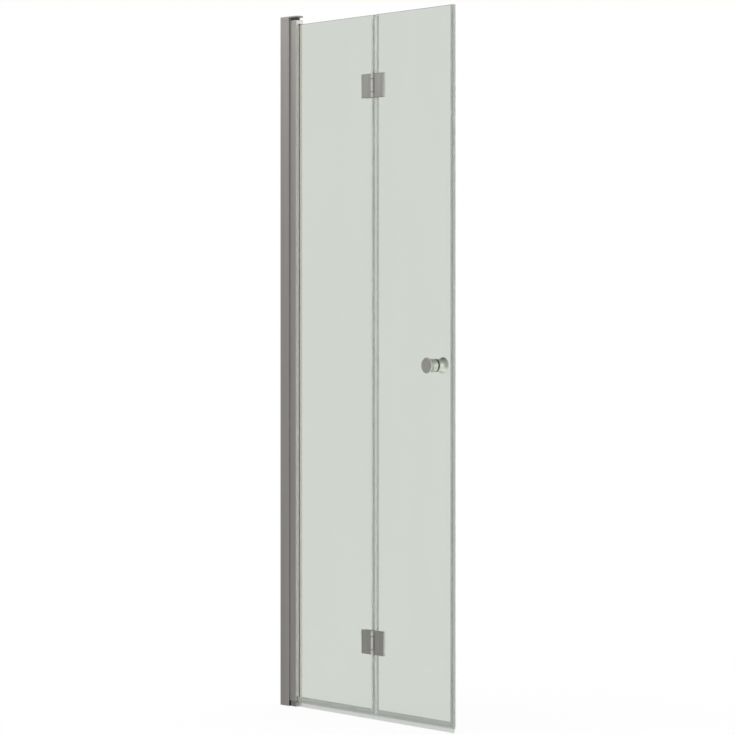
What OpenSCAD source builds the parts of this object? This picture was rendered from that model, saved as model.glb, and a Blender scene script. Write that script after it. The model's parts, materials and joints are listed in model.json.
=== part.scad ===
// Bifold shower door with two clear glass leaves.
// A fixed wall profile holds an adjusting profile. The wall leaf pivots on the adjusting
// profile, and the free leaf folds on the wall leaf with two glass-to-glass hinges.
// Millimetres. X runs along the door from the wall, -Y is outside, +Y is inside the shower
// and Z is up. The origin is on the wall, at tray level, in the glass mid-plane.

/* [Door] */
// Height from the tray to the top of the cap
door_h = 1899; // [1700:1:2100]
// Distance from the pivot axis to the fold axis
wall_leaf_w = 333; // [300:1:450]
// Distance from the fold axis to the closing edge
free_leaf_w = 317; // [290:1:325]
// Travel of the adjusting profile in the wall profile
adjust_travel = 15; // [8:1:17]

/* [Glass] */
// Thickness of the safety glass
glass_t = 6; // [5:0.5:8]
// Height of the lower glass edge over the tray
glass_bottom = 16; // [15.5:0.5:20]
// Depth of the upper glass edge below the top end of the stile
glass_top_drop = 2; // [0:0.5:6]
// How far the glass reaches into the stile
glass_bite = 7.2; // [5:0.1:7.2]
// Distance between the two glass edges at the fold
glass_gap = 10.4; // [9.8:0.2:14]
// Radius of the holes that are drilled in the glass
glass_hole_r = 6; // [5:0.25:7]

/* [Wall profile] */
// Depth of the wall profile from the wall
profile_d = 36.5; // [35:0.5:42]
// Width of the wall profile across the door
profile_w = 32; // [31:0.5:36]
// Wall thickness of the wall profile
profile_t = 1.8; // [1.4:0.1:2.2]
// Thickness of the foot that closes the lower end
foot_t = 3; // [2:0.5:4]
// Radius of the wall screw holes
wall_hole_r = 2.5; // [2:0.25:3]
// Distance of the outer wall screw holes from the profile's ends
wall_hole_inset = 100; // [60:5:140]
// Number of wall screw holes
wall_hole_count = 4; // [3:1:6]

/* [Adjusting profile] */
// Distance from the wall to the open side of the adjusting profile
adjust_x = 4; // [3:0.5:6]
// Side clearance in the wall profile
slide_gap = 0.4; // [0.3:0.05:0.6]
// Wall thickness of the adjusting profile
adjust_t = 1.6; // [1.2:0.1:2]
// Thickness of its closing wall
adjust_web_t = 2; // [1.6:0.1:2.4]
// Radius of the screw ports
port_r = 2.1; // [1.8:0.1:2.1]
// Wall around the screw ports
port_wall = 1.5; // [1.2:0.1:1.6]
// Distance of the screw ports from the mid-plane
port_y = 5; // [4:0.25:5.2]

/* [Locking screws] */
// Number of locking screws
lock_count = 3; // [2:1:5]
// Distance of the outer locking screws from the profile's ends
lock_inset = 150; // [110:5:250]
// Distance of the locking screws from the profile's open side
lock_end_inset = 9.5; // [9:0.25:10.5]
// Radius of the screw thread
lock_r = 2; // [1.75:0.25:2.25]
// Radius of the screw head
lock_head_r = 4; // [3.5:0.25:4.5]
// Height of the screw head
lock_head_h = 2.2; // [1.8:0.1:2.6]
// Width of the square nut
nut_w = 7; // [6:0.5:7]
// Thickness of the square nut
nut_t = 2.8; // [2.4:0.1:3]
// Wall of the snap cover over the head
cover_t = 1.2; // [1:0.1:1.6]

/* [Pivot] */
// Gap between the wall profile's end and the back of the stile
pivot_gap = 1; // [0.8:0.1:2]
// Radius of the pivot pins
pin_r = 4; // [3.5:0.1:4.2]
// Radial running clearance of every pin
pin_clear = 0.05; // [0.03:0.01:0.08]
// Outer radius of the pivot bushes
bush_r = 5.5; // [5.2:0.1:5.6]
// Radius of the bush flanges
flange_r = 9; // [8:0.5:9]
// Thickness of the lower bush flange
lower_flange_t = 1.25; // [1:0.05:1.6]
// Thickness of the upper bush flange
upper_flange_t = 2; // [1.5:0.1:3]
// Length of the pins in the leaf
pin_reach = 30; // [20:1:40]
// Length of the bushes in the leaf
bush_l = 36; // [30:1:50]

/* [Top cap] */
// Thickness of the cap plate
cap_t = 3.5; // [3:0.25:5]
// Height of the skirt over the wall profile
skirt_h = 5; // [4:0.5:12]
// Reach of the cap's round end past the pivot axis
cap_reach = 20.7; // [18:0.1:26]
// Gap between the wall leaf's upper end and the cap plate
head_gap = 8; // [7:0.5:14]
// Radius of the collar on the upper pin
collar_r = 10; // [9:0.5:11]
// Radius of the countersunk heads in the cap and the block
port_head_r = 3.8; // [3.4:0.1:4]
// Depth of the countersunk heads
port_head_h = 1.7; // [1.4:0.1:2]
// Length of the screws in the ports
port_screw_l = 22; // [16:1:30]

/* [Pivot block] */
// Height of the block's top over the tray
block_top = 15; // [14:0.5:18]
// Gap between the block and the tray
tray_gap = 0.5; // [0.3:0.1:1]
// Reach of the block from the pivot axis
block_r = 14.7; // [13.5:0.1:15.7]
// Gap between the block and the lip that swings past it
swing_gap = 1.5; // [1.4:0.1:3]
// Half the width of the neck between the block's end and its tail
block_neck = 7; // [5:0.5:8]
// Depth of the bearing recess
recess_d = 2; // [1.5:0.1:2.5]
// Thickness of the thrust washer
washer_t = 1; // [0.6:0.1:1.2]
// Distance from the wall to the block's tail
tail_x = 8; // [6:0.5:12]

/* [Stile] */
// Thickness of the stile, and the diameter of its round back
stile_t = 25; // [24:0.5:26]
// Length of the jaws from the pivot axis
jaw_reach = 14.7; // [14:0.1:15.4]
// Wall thickness of the stile
stile_wall = 1.6; // [1.3:0.1:1.8]
// Wall around the bush bore
bore_wall = 1.4; // [1.2:0.1:1.6]
// Corner radius of the jaws
jaw_corner_r = 1.5; // [1:0.1:2]
// Radius of the stile's outside back corner
back_corner_r = 6.7; // [5:0.1:12]
// Distance of the gap seal's outside edge from the mid-plane
gap_seal_y = 12.2; // [11:0.1:13]
// Thickness of the gap seal's fin
gap_fin_t = 0.8; // [0.6:0.1:1]
// Height of the upper end cap
upper_end_h = 10.5; // [8:0.5:14]
// Height of the lower end cap
lower_end_h = 12; // [10:0.5:14]
// Length of the plugs on the end caps
plug_l = 8; // [5:0.5:12]
// Thickness of the gaskets beside the glass
gasket_t = 1.5; // [1.2:0.1:1.8]
// Width of the gasket lip on the glass
gasket_lip_w = 1; // [0.75:0.25:3.5]
// Height of the gasket lip on the glass
gasket_lip_t = 1.7; // [1.6:0.1:2.6]
// Length of a packer between the stile and the glass edge
packer_l = 60; // [40:5:100]
// Number of packers
packer_count = 3; // [2:1:5]

/* [Seals] */
// Wall thickness of the clear seals
seal_t = 1.5; // [1.2:0.1:1.7]
// Grip of the wall leaf's fold seal on the glass
wall_seal_grip = 3; // [2.5:0.5:8]
// Grip of the free leaf's fold seal on the glass
free_seal_grip = 11; // [4:0.5:12]
// Grip of the closing seal on the glass
closing_grip = 3; // [2.5:0.5:8]
// Length of the closing seal's nose past the glass
closing_nose = 8; // [6.5:0.5:11]
// Grip of the bottom seals on the glass
bottom_grip = 11.5; // [8:0.5:16]
// Thickness of the lip's root
lip_t = 2.6; // [2:0.1:3]
// Gap between the lip and the tray
lip_gap = 0.5; // [0.3:0.1:1]
// Gap between parts that meet at the fold plane
fold_gap = 0.3; // [0.3:0.05:0.5]

/* [Fold hinges] */
// Distance of a hinge's centre from the glass end
hinge_inset = 188.5; // [140:0.5:300]
// Height of the hinge plates
plate_h = 64; // [60:1:80]
// Reach of the hinge plates from the fold axis
plate_reach = 46; // [42:1:60]
// Reach of the inside plates past their screws
back_edge = 8; // [7:0.5:11]
// Thickness of the hinge plates
plate_t = 4; // [4:0.25:5]
// Edge bevel of the hinge plates
plate_bevel = 1.5; // [0.5:0.1:1.8]
// Thickness of the pads between plate and glass
pad_t = 0.5; // [0.5:0.1:1]
// Radius of the knuckles
knuckle_r = 6.5; // [6.3:0.1:6.7]
// Height of the middle knuckle
knuckle_h = 33; // [24:1:36]
// Radius of the hinge pins
hinge_pin_r = 3; // [2.6:0.1:3.1]
// Outer radius of the knuckle bushes
knuckle_bush_r = 4.25; // [4:0.05:4.4]
// Radius of the knuckle bush flanges
knuckle_flange_r = 6.2; // [5.6:0.1:6.2]
// Thickness of the knuckle bush flanges
knuckle_flange_t = 1.5; // [1:0.1:2]
// Distance of the clamping screws from the fold axis
clamp_x = 30; // [24:0.5:34]
// Half the distance between the clamping screws of one plate
clamp_z = 16; // [13:0.5:22]
// Radius of the clamping screws
clamp_r = 3; // [2.5:0.1:3.2]
// Radius of the countersunk heads of the clamping screws
clamp_head_r = 5.5; // [5:0.1:6]
// Depth of the countersunk heads
clamp_head_h = 2.4; // [2:0.1:2.6]
// Depth of the clamping thread in the front plate
clamp_thread = 3.2; // [2.5:0.1:3.4]

/* [Knob] */
// Height of the knob over the tray
knob_z = 945; // [900:1:1100]
// Distance of the knob from the closing edge
knob_inset = 73; // [50:1:110]
// Radius of the knob's face
knob_face_r = 21; // [18:0.5:24]
// Radius of the knob's neck
knob_base_r = 17; // [14:0.5:17.5]
// Length of the knob's straight neck
knob_neck = 15; // [8:0.5:18]
// Depth of one knob
knob_d = 27; // [22:0.5:30]
// Rounding of the knob's front edge
knob_edge_r = 1.6; // [1:0.1:2.4]
// Radius of the stud that joins the knobs
stud_r = 4; // [3:0.25:4]
// Depth of the stud in each knob
stud_bite = 12; // [8:0.5:16]
// Thickness of the washers beside the glass
knob_washer_t = 1; // [0.8:0.1:1.5]

/* [Hidden] */
$fn = 64;

// Colours as the finished door shows them
satin_aluminium = [0.58, 0.57, 0.55];
satin_steel = [0.60, 0.59, 0.57];
moulded_grey = [0.66, 0.65, 0.63];
dark_plastic = [0.32, 0.31, 0.30];
dark_zinc = [0.42, 0.41, 0.40];
soft_grey = [0.56, 0.56, 0.54];
clear_glass = [0.80, 0.84, 0.81, 0.35];
clear_seal = [0.70, 0.71, 0.69, 0.60];
bronze = [0.72, 0.60, 0.38];

// Clearances shared by several pieces
over = 1;          // how far a cut runs past the face it opens
bolt_gap = 0.2;    // radial gap of a screw in a plain hole
sleeve_gap = 0.1;  // radial gap of a sleeve in the glass and on its screw
end_gap = 0.3;     // gap between pieces that pass each other

// Plan
pivot_x = profile_d + pivot_gap + stile_t / 2;
fold_x = pivot_x + wall_leaf_w;
edge_x = fold_x + free_leaf_w;
jaw_x = pivot_x + jaw_reach;
wall_glass_x = jaw_x - glass_bite;
slot_x = wall_glass_x - 1;
glass_half = glass_t / 2;
seal_half = glass_half + seal_t;
wall_glass_end = fold_x - glass_gap / 2;
free_glass_x = fold_x + glass_gap / 2;
free_glass_end = edge_x - closing_nose;
adjust_w = profile_w - 2 * profile_t - 2 * slide_gap;
port_x = profile_d - adjust_web_t - port_r - port_wall / 2;
lock_x = profile_d - lock_end_inset;
knob_x = edge_x - knob_inset;
swing_r = block_r + swing_gap;
back_reach = clamp_x + back_edge;

// Heights
cap_z = door_h - cap_t;
skirt_z = cap_z - skirt_h;
wall_profile_h = skirt_z - end_gap;
leaf_top = cap_z - head_gap;
stile_top = leaf_top - upper_end_h;
recess_z = block_top - recess_d;
thrust_z = recess_z + washer_t + pin_clear;
leaf_bottom = thrust_z + lower_flange_t;
stile_bottom = leaf_bottom + lower_end_h;
glass_top = stile_top - glass_top_drop;
glass_h = glass_top - glass_bottom;
grip_top = glass_bottom + bottom_grip;
grip_bottom = glass_bottom - seal_t;
upper_hinge_z = glass_top - hinge_inset;
lower_hinge_z = glass_bottom + hinge_inset;
hinge_zs = [lower_hinge_z, upper_hinge_z];
wall_hole_zs = spread(wall_hole_inset, wall_profile_h - wall_hole_inset, wall_hole_count);
lock_zs = spread(lock_inset, wall_profile_h - lock_inset, lock_count);

// Hinge planes, measured from the glass mid-plane
pad_y = glass_half + pad_t;
plate_y = pad_y + plate_t;
outer_knuckle_z = knuckle_h / 2 + knuckle_flange_t;

// Evenly spaced values from a to b
function spread(a, b, count) = [for (i = [0:count - 1]) a + (b - a) * i / (count - 1)];

// ---------- shared shapes ----------

// Round bar along +Y from the given point
module y_bar(x, y, z, r, l) translate([x, y, z]) rotate([-90, 0, 0]) cylinder(r = r, h = l);

// Ring along +Z
module ring(r_out, r_in, h) difference() {
    cylinder(r = r_out, h = h);
    translate([0, 0, -over]) cylinder(r = r_in, h = h + 2 * over);
}

// Flat section in the YZ plane, drawn along X from x0 to x1
module along_x(x0, x1) translate([x0, 0, 0]) rotate([90, 0, 90]) linear_extrude(x1 - x0) children();

// Outside back corner of the stile and the block, which swings clear of the profile
module back_corner() {
    half = stile_t / 2;
    translate([back_corner_r - half, -half]) square([half - back_corner_r, half]);
    translate([-half, back_corner_r - half]) square([half, half - back_corner_r]);
    translate([back_corner_r - half, back_corner_r - half]) circle(r = back_corner_r);
}

// Outline of the wall leaf's stile
module stile_outline() {
    half = stile_t / 2;
    circle(r = half);
    back_corner();
    translate([0, -half]) square([jaw_reach - jaw_corner_r, stile_t]);
    translate([0, jaw_corner_r - half]) square([jaw_reach, stile_t - 2 * jaw_corner_r]);
    for (side = [-1, 1])
        translate([jaw_reach - jaw_corner_r, side * (half - jaw_corner_r)]) circle(r = jaw_corner_r);
}

// One hollow chamber of the stile; gap makes it smaller for the plugs
module stile_chamber(side, gap) {
    inner = stile_t / 2 - stile_wall - gap;
    jaw_inner = glass_half + gasket_t + stile_wall + gap;
    mirror([0, side < 0 ? 1 : 0]) difference() {
        union() {
            intersection() {
                circle(r = inner);
                translate([-inner, stile_wall / 2 + gap]) square([inner, inner]);
            }
            translate([-over / 2, jaw_inner]) square([jaw_reach - stile_wall - gap + over / 2, inner - jaw_inner]);
        }
        circle(r = bush_r + bore_wall + gap);
    }
}

// Stile section with the glass slot open
module stile_section() difference() {
    stile_outline();
    circle(r = bush_r);
    translate([slot_x - pivot_x, -glass_half - gasket_t])
        square([jaw_reach, glass_t + 2 * gasket_t]);
}

// Countersunk screw with its head at z = 0 and its shank below
module countersunk(r, head_r, head_h, l, socket_r) difference() {
    union() {
        translate([0, 0, -head_h]) cylinder(r1 = r, r2 = head_r, h = head_h);
        translate([0, 0, -l]) cylinder(r = r, h = l - head_h);
    }
    translate([0, 0, -head_h * 0.7]) cylinder(r = socket_r, h = head_h, $fn = 6);
}

// The hole that such a screw sits in
module countersink(r, head_r, head_h, l) {
    translate([0, 0, -head_h]) cylinder(r1 = r, r2 = head_r, h = head_h);
    translate([0, 0, -l]) cylinder(r = r, h = l);
}

// ---------- wall side ----------

module wall_profile() color(satin_aluminium) difference() {
    linear_extrude(wall_profile_h) difference() {
        translate([0, -profile_w / 2]) square([profile_d, profile_w]);
        translate([profile_t, profile_t - profile_w / 2])
            square([profile_d, profile_w - 2 * profile_t]);
    }
    for (z = wall_hole_zs)
        translate([-over, 0, z]) rotate([0, 90, 0]) cylinder(r = wall_hole_r, h = profile_t + 2 * over);
    for (z = lock_zs)
        y_bar(lock_x, profile_w / 2 - profile_t - over, z, lock_r + bolt_gap, profile_t + 2 * over);
}

module profile_foot() color(dark_plastic)
    translate([profile_t, profile_t - profile_w / 2, 0])
        cube([profile_d - profile_t, profile_w - 2 * profile_t, foot_t]);

module lock_screws() color(satin_steel) for (z = lock_zs) {
    nut_y = adjust_w / 2 - adjust_t - nut_t;
    difference() {
        union() {
            y_bar(lock_x, nut_y, z, lock_r, profile_w / 2 - nut_y);
            y_bar(lock_x, profile_w / 2, z, lock_head_r, lock_head_h);
        }
        translate([lock_x, profile_w / 2 + lock_head_h / 2, z]) rotate([-90, 0, 0])
            cylinder(r = lock_r * 0.75, h = lock_head_h, $fn = 6);
    }
}

module lock_nuts() color(satin_steel) for (z = lock_zs) {
    nut_y = adjust_w / 2 - adjust_t - nut_t;
    difference() {
        translate([lock_x - nut_w / 2, nut_y, z - nut_w / 2]) cube([nut_w, nut_t - slide_gap / 2, nut_w]);
        y_bar(lock_x, nut_y - over, z, lock_r, nut_t + 2 * over);
    }
}

module lock_screw_covers() color(moulded_grey) for (z = lock_zs)
    translate([lock_x, profile_w / 2, z]) rotate([-90, 0, 0]) difference() {
        union() {
            cylinder(r = lock_head_r + cover_t, h = lock_head_h);
            translate([0, 0, lock_head_h]) cylinder(r1 = lock_head_r + cover_t, r2 = lock_head_r, h = cover_t);
        }
        translate([0, 0, -over]) cylinder(r = lock_head_r, h = lock_head_h + over);
    }

// ---------- adjuster ----------

module adjusting_profile() color(satin_aluminium) difference() {
    translate([0, 0, block_top]) linear_extrude(cap_z - block_top) difference() {
        union() {
            difference() {
                translate([adjust_x, -adjust_w / 2]) square([profile_d - adjust_x, adjust_w]);
                translate([adjust_x - over, adjust_t - adjust_w / 2])
                    square([profile_d - adjust_x - adjust_web_t + over, adjust_w - 2 * adjust_t]);
            }
            for (side = [-1, 1]) translate([port_x, side * port_y]) {
                circle(r = port_r + port_wall);
                translate([0, -port_r - port_wall])
                    square([profile_d - port_x - adjust_web_t / 2, 2 * (port_r + port_wall)]);
            }
        }
        for (side = [-1, 1]) translate([port_x, side * port_y]) circle(r = port_r);
    }
    // slots that let the profile slide past the locking screws
    for (z = lock_zs) {
        slot_r = lock_r + bolt_gap;
        flange_y = adjust_w / 2 - adjust_t - over / 2;
        for (x = [lock_x - adjust_travel, lock_x]) y_bar(x, flange_y, z, slot_r, adjust_t + over);
        translate([lock_x - adjust_travel, flange_y, z - slot_r])
            cube([adjust_travel, adjust_t + over, 2 * slot_r]);
    }
}

module top_cap() color(moulded_grey) difference() {
    union() {
        translate([0, 0, cap_z]) linear_extrude(cap_t) {
            end_x = pivot_x + cap_reach - profile_w / 2;
            translate([0, -profile_w / 2]) square([end_x, profile_w]);
            translate([end_x, 0]) circle(r = profile_w / 2);
        }
        translate([0, 0, skirt_z]) linear_extrude(skirt_h) difference() {
            translate([0, -profile_w / 2]) square([profile_d, profile_w]);
            translate([profile_t, -adjust_w / 2]) square([profile_d, adjust_w]);
        }
    }
    for (side = [-1, 1]) translate([port_x, side * port_y, door_h])
        countersink(port_r, port_head_r, port_head_h, cap_t + over);
    translate([pivot_x, 0, cap_z - over]) cylinder(r = pin_r, h = cap_t + over - 1);
}

module top_cap_screws() color(satin_steel) for (side = [-1, 1])
    translate([port_x, side * port_y, door_h])
        countersunk(port_r, port_head_r, port_head_h, port_screw_l, port_r * 0.6);

module top_pivot_pin() color(satin_steel)
    translate([pivot_x, 0, leaf_top - pin_reach]) cylinder(r = pin_r, h = door_h - 1 - leaf_top + pin_reach);

module top_pivot_collar() color(dark_plastic)
    translate([pivot_x, 0, leaf_top + upper_flange_t + end_gap])
        ring(collar_r, pin_r, head_gap - upper_flange_t - end_gap);

// End of the lower block: its outside corners stand under the stile's, and its inside is round,
// so that the leaf's lip swings past it
module block_end() {
    half = stile_t / 2;
    circle(r = half);
    back_corner();
    intersection() {
        circle(r = block_r);
        translate([0, -half]) square([block_r, stile_t]);
    }
    translate([0, -half]) square([block_r - jaw_corner_r, half]);
    translate([0, jaw_corner_r - half]) square([block_r, half - jaw_corner_r]);
    translate([block_r - jaw_corner_r, jaw_corner_r - half]) circle(r = jaw_corner_r);
}

module bottom_pivot_block() color(dark_zinc) difference() {
    union() {
        translate([0, 0, tray_gap]) linear_extrude(block_top - tray_gap) {
            translate([pivot_x, 0]) block_end();
            translate([profile_d + end_gap, -block_neck]) square([stile_t / 2, 2 * block_neck]);
        }
        translate([tail_x, -adjust_w / 2, foot_t + end_gap])
            cube([profile_d + end_gap - tail_x, adjust_w, block_top - foot_t - end_gap]);
    }
    translate([pivot_x, 0, recess_z]) cylinder(r = flange_r + 2 * end_gap, h = recess_d + over);
    translate([pivot_x, 0, foot_t]) cylinder(r = pin_r, h = block_top);
    for (side = [-1, 1]) translate([port_x, side * port_y, foot_t + end_gap]) rotate([180, 0, 0])
        countersink(port_r, port_head_r, port_head_h, block_top);
}

module bottom_block_screws() color(satin_steel) for (side = [-1, 1])
    translate([port_x, side * port_y, foot_t + end_gap]) rotate([180, 0, 0])
        countersunk(port_r, port_head_r, port_head_h, block_top - foot_t + port_screw_l, port_r * 0.6);

module bottom_pivot_pin() color(satin_steel)
    translate([pivot_x, 0, foot_t]) cylinder(r = pin_r, h = leaf_bottom + pin_reach - foot_t);

module thrust_washer() color(bronze)
    translate([pivot_x, 0, recess_z]) ring(flange_r, pin_r, washer_t);

// Soft strip on the adjusting profile with a fin round the stile's back corner
module pivot_gap_seal() color(dark_plastic) {
    corner_x = pivot_x - stile_t / 2 + back_corner_r;
    corner_y = back_corner_r - stile_t / 2;
    fin_r = back_corner_r + end_gap;
    seal_w = gap_seal_y - stile_t / 5;
    fin_w = fin_r * 0.6;
    translate([0, 0, leaf_bottom]) linear_extrude(cap_z - end_gap - leaf_bottom) {
        translate([profile_d, -gap_seal_y]) square([pivot_gap - end_gap, seal_w]);
        intersection() {
            translate([corner_x, corner_y]) difference() {
                circle(r = fin_r + gap_fin_t);
                circle(r = fin_r);
            }
            translate([profile_d, corner_y - fin_w]) square([fin_r, fin_w]);
        }
    }
}

// ---------- wall leaf ----------

module pivot_stile() color(satin_aluminium)
    translate([pivot_x, 0, stile_bottom]) linear_extrude(stile_top - stile_bottom) difference() {
        stile_section();
        for (side = [-1, 1]) stile_chamber(side, 0);
    }

module stile_top_cap() color(satin_steel) translate([pivot_x, 0, stile_top]) {
    linear_extrude(upper_end_h) difference() {
        stile_outline();
        circle(r = bush_r);
    }
    translate([0, 0, -plug_l]) linear_extrude(plug_l) for (side = [-1, 1])
        stile_chamber(side, sleeve_gap);
}

module stile_bottom_cap() color(satin_steel) translate([pivot_x, 0, leaf_bottom]) {
    linear_extrude(lower_end_h) stile_section();
    translate([0, 0, lower_end_h]) linear_extrude(plug_l) for (side = [-1, 1])
        stile_chamber(side, sleeve_gap);
}

module top_pivot_bush() color(dark_plastic) translate([pivot_x, 0, leaf_top]) {
    ring(flange_r, pin_r + pin_clear, upper_flange_t);
    translate([0, 0, -bush_l]) ring(bush_r, pin_r + pin_clear, bush_l);
}

module bottom_pivot_bush() color(dark_plastic) translate([pivot_x, 0, leaf_bottom]) {
    translate([0, 0, -lower_flange_t]) ring(flange_r, pin_r + pin_clear, lower_flange_t);
    ring(bush_r, pin_r + pin_clear, bush_l);
}

// Gasket between one jaw and the glass, with a lip that shows beside the jaw
module glass_gasket(side) color(soft_grey) mirror([0, side < 0 ? 1 : 0, 0])
    translate([0, 0, glass_bottom]) linear_extrude(glass_h) {
        translate([wall_glass_x, glass_half]) square([glass_bite, gasket_t]);
        translate([jaw_x, glass_half]) square([gasket_lip_w, gasket_lip_t]);
    }

module front_glass_gasket() glass_gasket(-1);
module rear_glass_gasket() glass_gasket(1);

module glass_packers() color(dark_plastic) for (z = spread(grip_top, glass_top - packer_l, packer_count))
    translate([slot_x, -glass_half, z]) cube([wall_glass_x - slot_x, glass_t, packer_l]);

// Glass pane with the holes for its hinge screws
module pane(x0, x1, side) difference() {
    translate([x0, -glass_half, glass_bottom]) cube([x1 - x0, glass_t, glass_h]);
    for (hz = hinge_zs, dz = [-clamp_z, clamp_z])
        y_bar(fold_x + side * clamp_x, -glass_half - over, hz + dz, glass_hole_r, glass_t + 2 * over);
}

module wall_glass() color(clear_glass) pane(wall_glass_x, wall_glass_end, -1);

// Section of an upright seal on a glass edge at x = 0; the nose points to +X
module edge_seal_section(grip, nose) {
    bevel = seal_t / 2;
    difference() {
        polygon([
            [-grip, -seal_half], [nose - bevel, -seal_half], [nose, bevel - seal_half],
            [nose, seal_half - bevel], [nose - bevel, seal_half], [-grip, seal_half]
        ]);
        translate([-grip - over, -glass_half]) square([grip + over, glass_t]);
    }
}

// Fold seal of one leaf, left out where the hinges are
module fold_seal(side) {
    grip = side > 0 ? wall_seal_grip : free_seal_grip;
    cut = plate_h / 2 + end_gap;
    spans = [
        [grip_bottom, lower_hinge_z - cut],
        [lower_hinge_z + cut, upper_hinge_z - cut],
        [upper_hinge_z + cut, glass_top]
    ];
    for (s = spans) translate([fold_x - side * glass_gap / 2, 0, s[0]])
        linear_extrude(s[1] - s[0]) mirror([side < 0 ? 1 : 0, 0])
            edge_seal_section(grip, glass_gap / 2 - fold_gap);
}

module wall_fold_seal() color(clear_seal) fold_seal(1);

// Grip of the bottom seal round the lower glass edge
module bottom_grip_section() difference() {
    translate([-seal_half, grip_bottom]) square([2 * seal_half, grip_top - grip_bottom]);
    translate([-glass_half, glass_bottom]) square([glass_t, bottom_grip + over]);
}

// Soft lip to the tray, with a fin that turns the drips back inside
module lip_section() {
    polygon([
        [-lip_t / 2, grip_bottom], [lip_t / 2, grip_bottom],
        [lip_t * 0.3, lip_gap], [-lip_t * 0.3, lip_gap]
    ]);
    polygon([
        [lip_t / 2 - 0.1, grip_bottom], [seal_half, grip_bottom],
        [seal_half + lip_t, grip_bottom - 2 * lip_t], [seal_half + lip_t * 0.6, grip_bottom - 2 * lip_t]
    ]);
}

module wall_bottom_seal() color(clear_seal) {
    along_x(jaw_x + gasket_lip_w + end_gap, wall_glass_end - wall_seal_grip) bottom_grip_section();
    along_x(pivot_x + swing_r, fold_x - fold_gap) lip_section();
}

// ---------- fold hinges ----------

// Front plate beside the knuckles; side is -1 for the wall leaf and 1 for the free leaf
module front_plate_body(side, hz) mirror([side < 0 ? 1 : 0, 0, 0])
    translate([0, 0, hz - plate_h / 2]) linear_extrude(plate_h) polygon([
        [knuckle_r + fold_gap, pad_y], [plate_reach, pad_y],
        [plate_reach, plate_y - plate_bevel], [plate_reach - plate_bevel, plate_y],
        [knuckle_r + fold_gap + plate_bevel, plate_y], [knuckle_r + fold_gap, plate_y - plate_bevel]
    ]);

// One knuckle on the fold axis and the neck that joins it to its plate
module knuckle(side, z0, h) {
    translate([0, plate_y, z0]) cylinder(r = knuckle_r, h = h);
    mirror([side < 0 ? 1 : 0, 0, 0]) translate([0, pad_y, z0])
        cube([knuckle_r + fold_gap + plate_bevel, plate_t, h]);
}

// Blind threads for the clamping screws
module clamp_threads(side, hz) for (dz = [-clamp_z, clamp_z])
    y_bar(side * clamp_x, pad_y - over, hz + dz, clamp_r, clamp_thread + over);

module wall_hinge_plate(hz) color(satin_steel) translate([fold_x, 0, 0]) mirror([0, 1, 0]) difference() {
    union() {
        front_plate_body(-1, hz);
        knuckle(-1, hz - knuckle_h / 2, knuckle_h);
    }
    translate([0, plate_y, hz - knuckle_h]) cylinder(r = knuckle_bush_r, h = 2 * knuckle_h);
    clamp_threads(-1, hz);
}

module free_hinge_plate(hz) color(satin_steel) translate([fold_x, 0, 0]) mirror([0, 1, 0]) difference() {
    outer_h = plate_h / 2 - outer_knuckle_z;
    union() {
        front_plate_body(1, hz);
        for (z0 = [hz + outer_knuckle_z, hz - plate_h / 2]) knuckle(1, z0, outer_h);
    }
    translate([0, plate_y, hz - plate_h]) cylinder(r = hinge_pin_r, h = 2 * plate_h);
    clamp_threads(1, hz);
}

module upper_wall_hinge_plate() wall_hinge_plate(upper_hinge_z);
module lower_wall_hinge_plate() wall_hinge_plate(lower_hinge_z);
module upper_free_hinge_plate() free_hinge_plate(upper_hinge_z);
module lower_free_hinge_plate() free_hinge_plate(lower_hinge_z);

// Inside plate with countersunk holes; it reaches the fold plane
module back_plate(side, hz) color(satin_steel) translate([fold_x, 0, 0]) difference() {
    mirror([side < 0 ? 1 : 0, 0, 0]) translate([0, 0, hz - plate_h / 2]) linear_extrude(plate_h) polygon([
        [fold_gap, pad_y], [back_reach, pad_y], [back_reach, plate_y - plate_bevel],
        [back_reach - plate_bevel, plate_y], [fold_gap + plate_bevel, plate_y],
        [fold_gap, plate_y - plate_bevel]
    ]);
    for (dz = [-clamp_z, clamp_z]) translate([side * clamp_x, plate_y, hz + dz]) rotate([-90, 0, 0])
        countersink(clamp_r, clamp_head_r, clamp_head_h, plate_t + over);
}

module upper_wall_back_plate() back_plate(-1, upper_hinge_z);
module lower_wall_back_plate() back_plate(-1, lower_hinge_z);
module upper_free_back_plate() back_plate(1, upper_hinge_z);
module lower_free_back_plate() back_plate(1, lower_hinge_z);

// Thin pads on both faces of the glass under the plates
module hinge_pads(side) color(clear_seal) for (hz = hinge_zs, face = [-1, 1]) {
    inner_x = glass_gap / 2 + end_gap;
    outer_x = (face > 0 ? back_reach : plate_reach) - end_gap;
    difference() {
        translate([fold_x + (side > 0 ? inner_x : -outer_x), face > 0 ? glass_half : -pad_y,
            hz - plate_h / 2 + end_gap]) cube([outer_x - inner_x, pad_t, plate_h - 2 * end_gap]);
        for (dz = [-clamp_z, clamp_z])
            y_bar(fold_x + side * clamp_x, -plate_y, hz + dz, clamp_r + bolt_gap, 2 * plate_y);
    }
}

module wall_hinge_pads() hinge_pads(-1);
module free_hinge_pads() hinge_pads(1);

// Sleeves that keep the screws off the glass
module hinge_sleeves(side) color(dark_plastic)
    for (hz = hinge_zs, dz = [-clamp_z, clamp_z])
        translate([fold_x + side * clamp_x, glass_half, hz + dz]) rotate([90, 0, 0])
            ring(glass_hole_r - sleeve_gap, clamp_r + sleeve_gap, glass_t);

module wall_hinge_sleeves() hinge_sleeves(-1);
module free_hinge_sleeves() hinge_sleeves(1);

// Countersunk clamping screws from the inside
module hinge_screws(side) color(satin_steel)
    for (hz = hinge_zs, dz = [-clamp_z, clamp_z])
        translate([fold_x + side * clamp_x, plate_y, hz + dz]) rotate([-90, 0, 0])
            countersunk(clamp_r, clamp_head_r, clamp_head_h, plate_y + pad_y + clamp_thread, clamp_r * 0.65);

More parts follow.
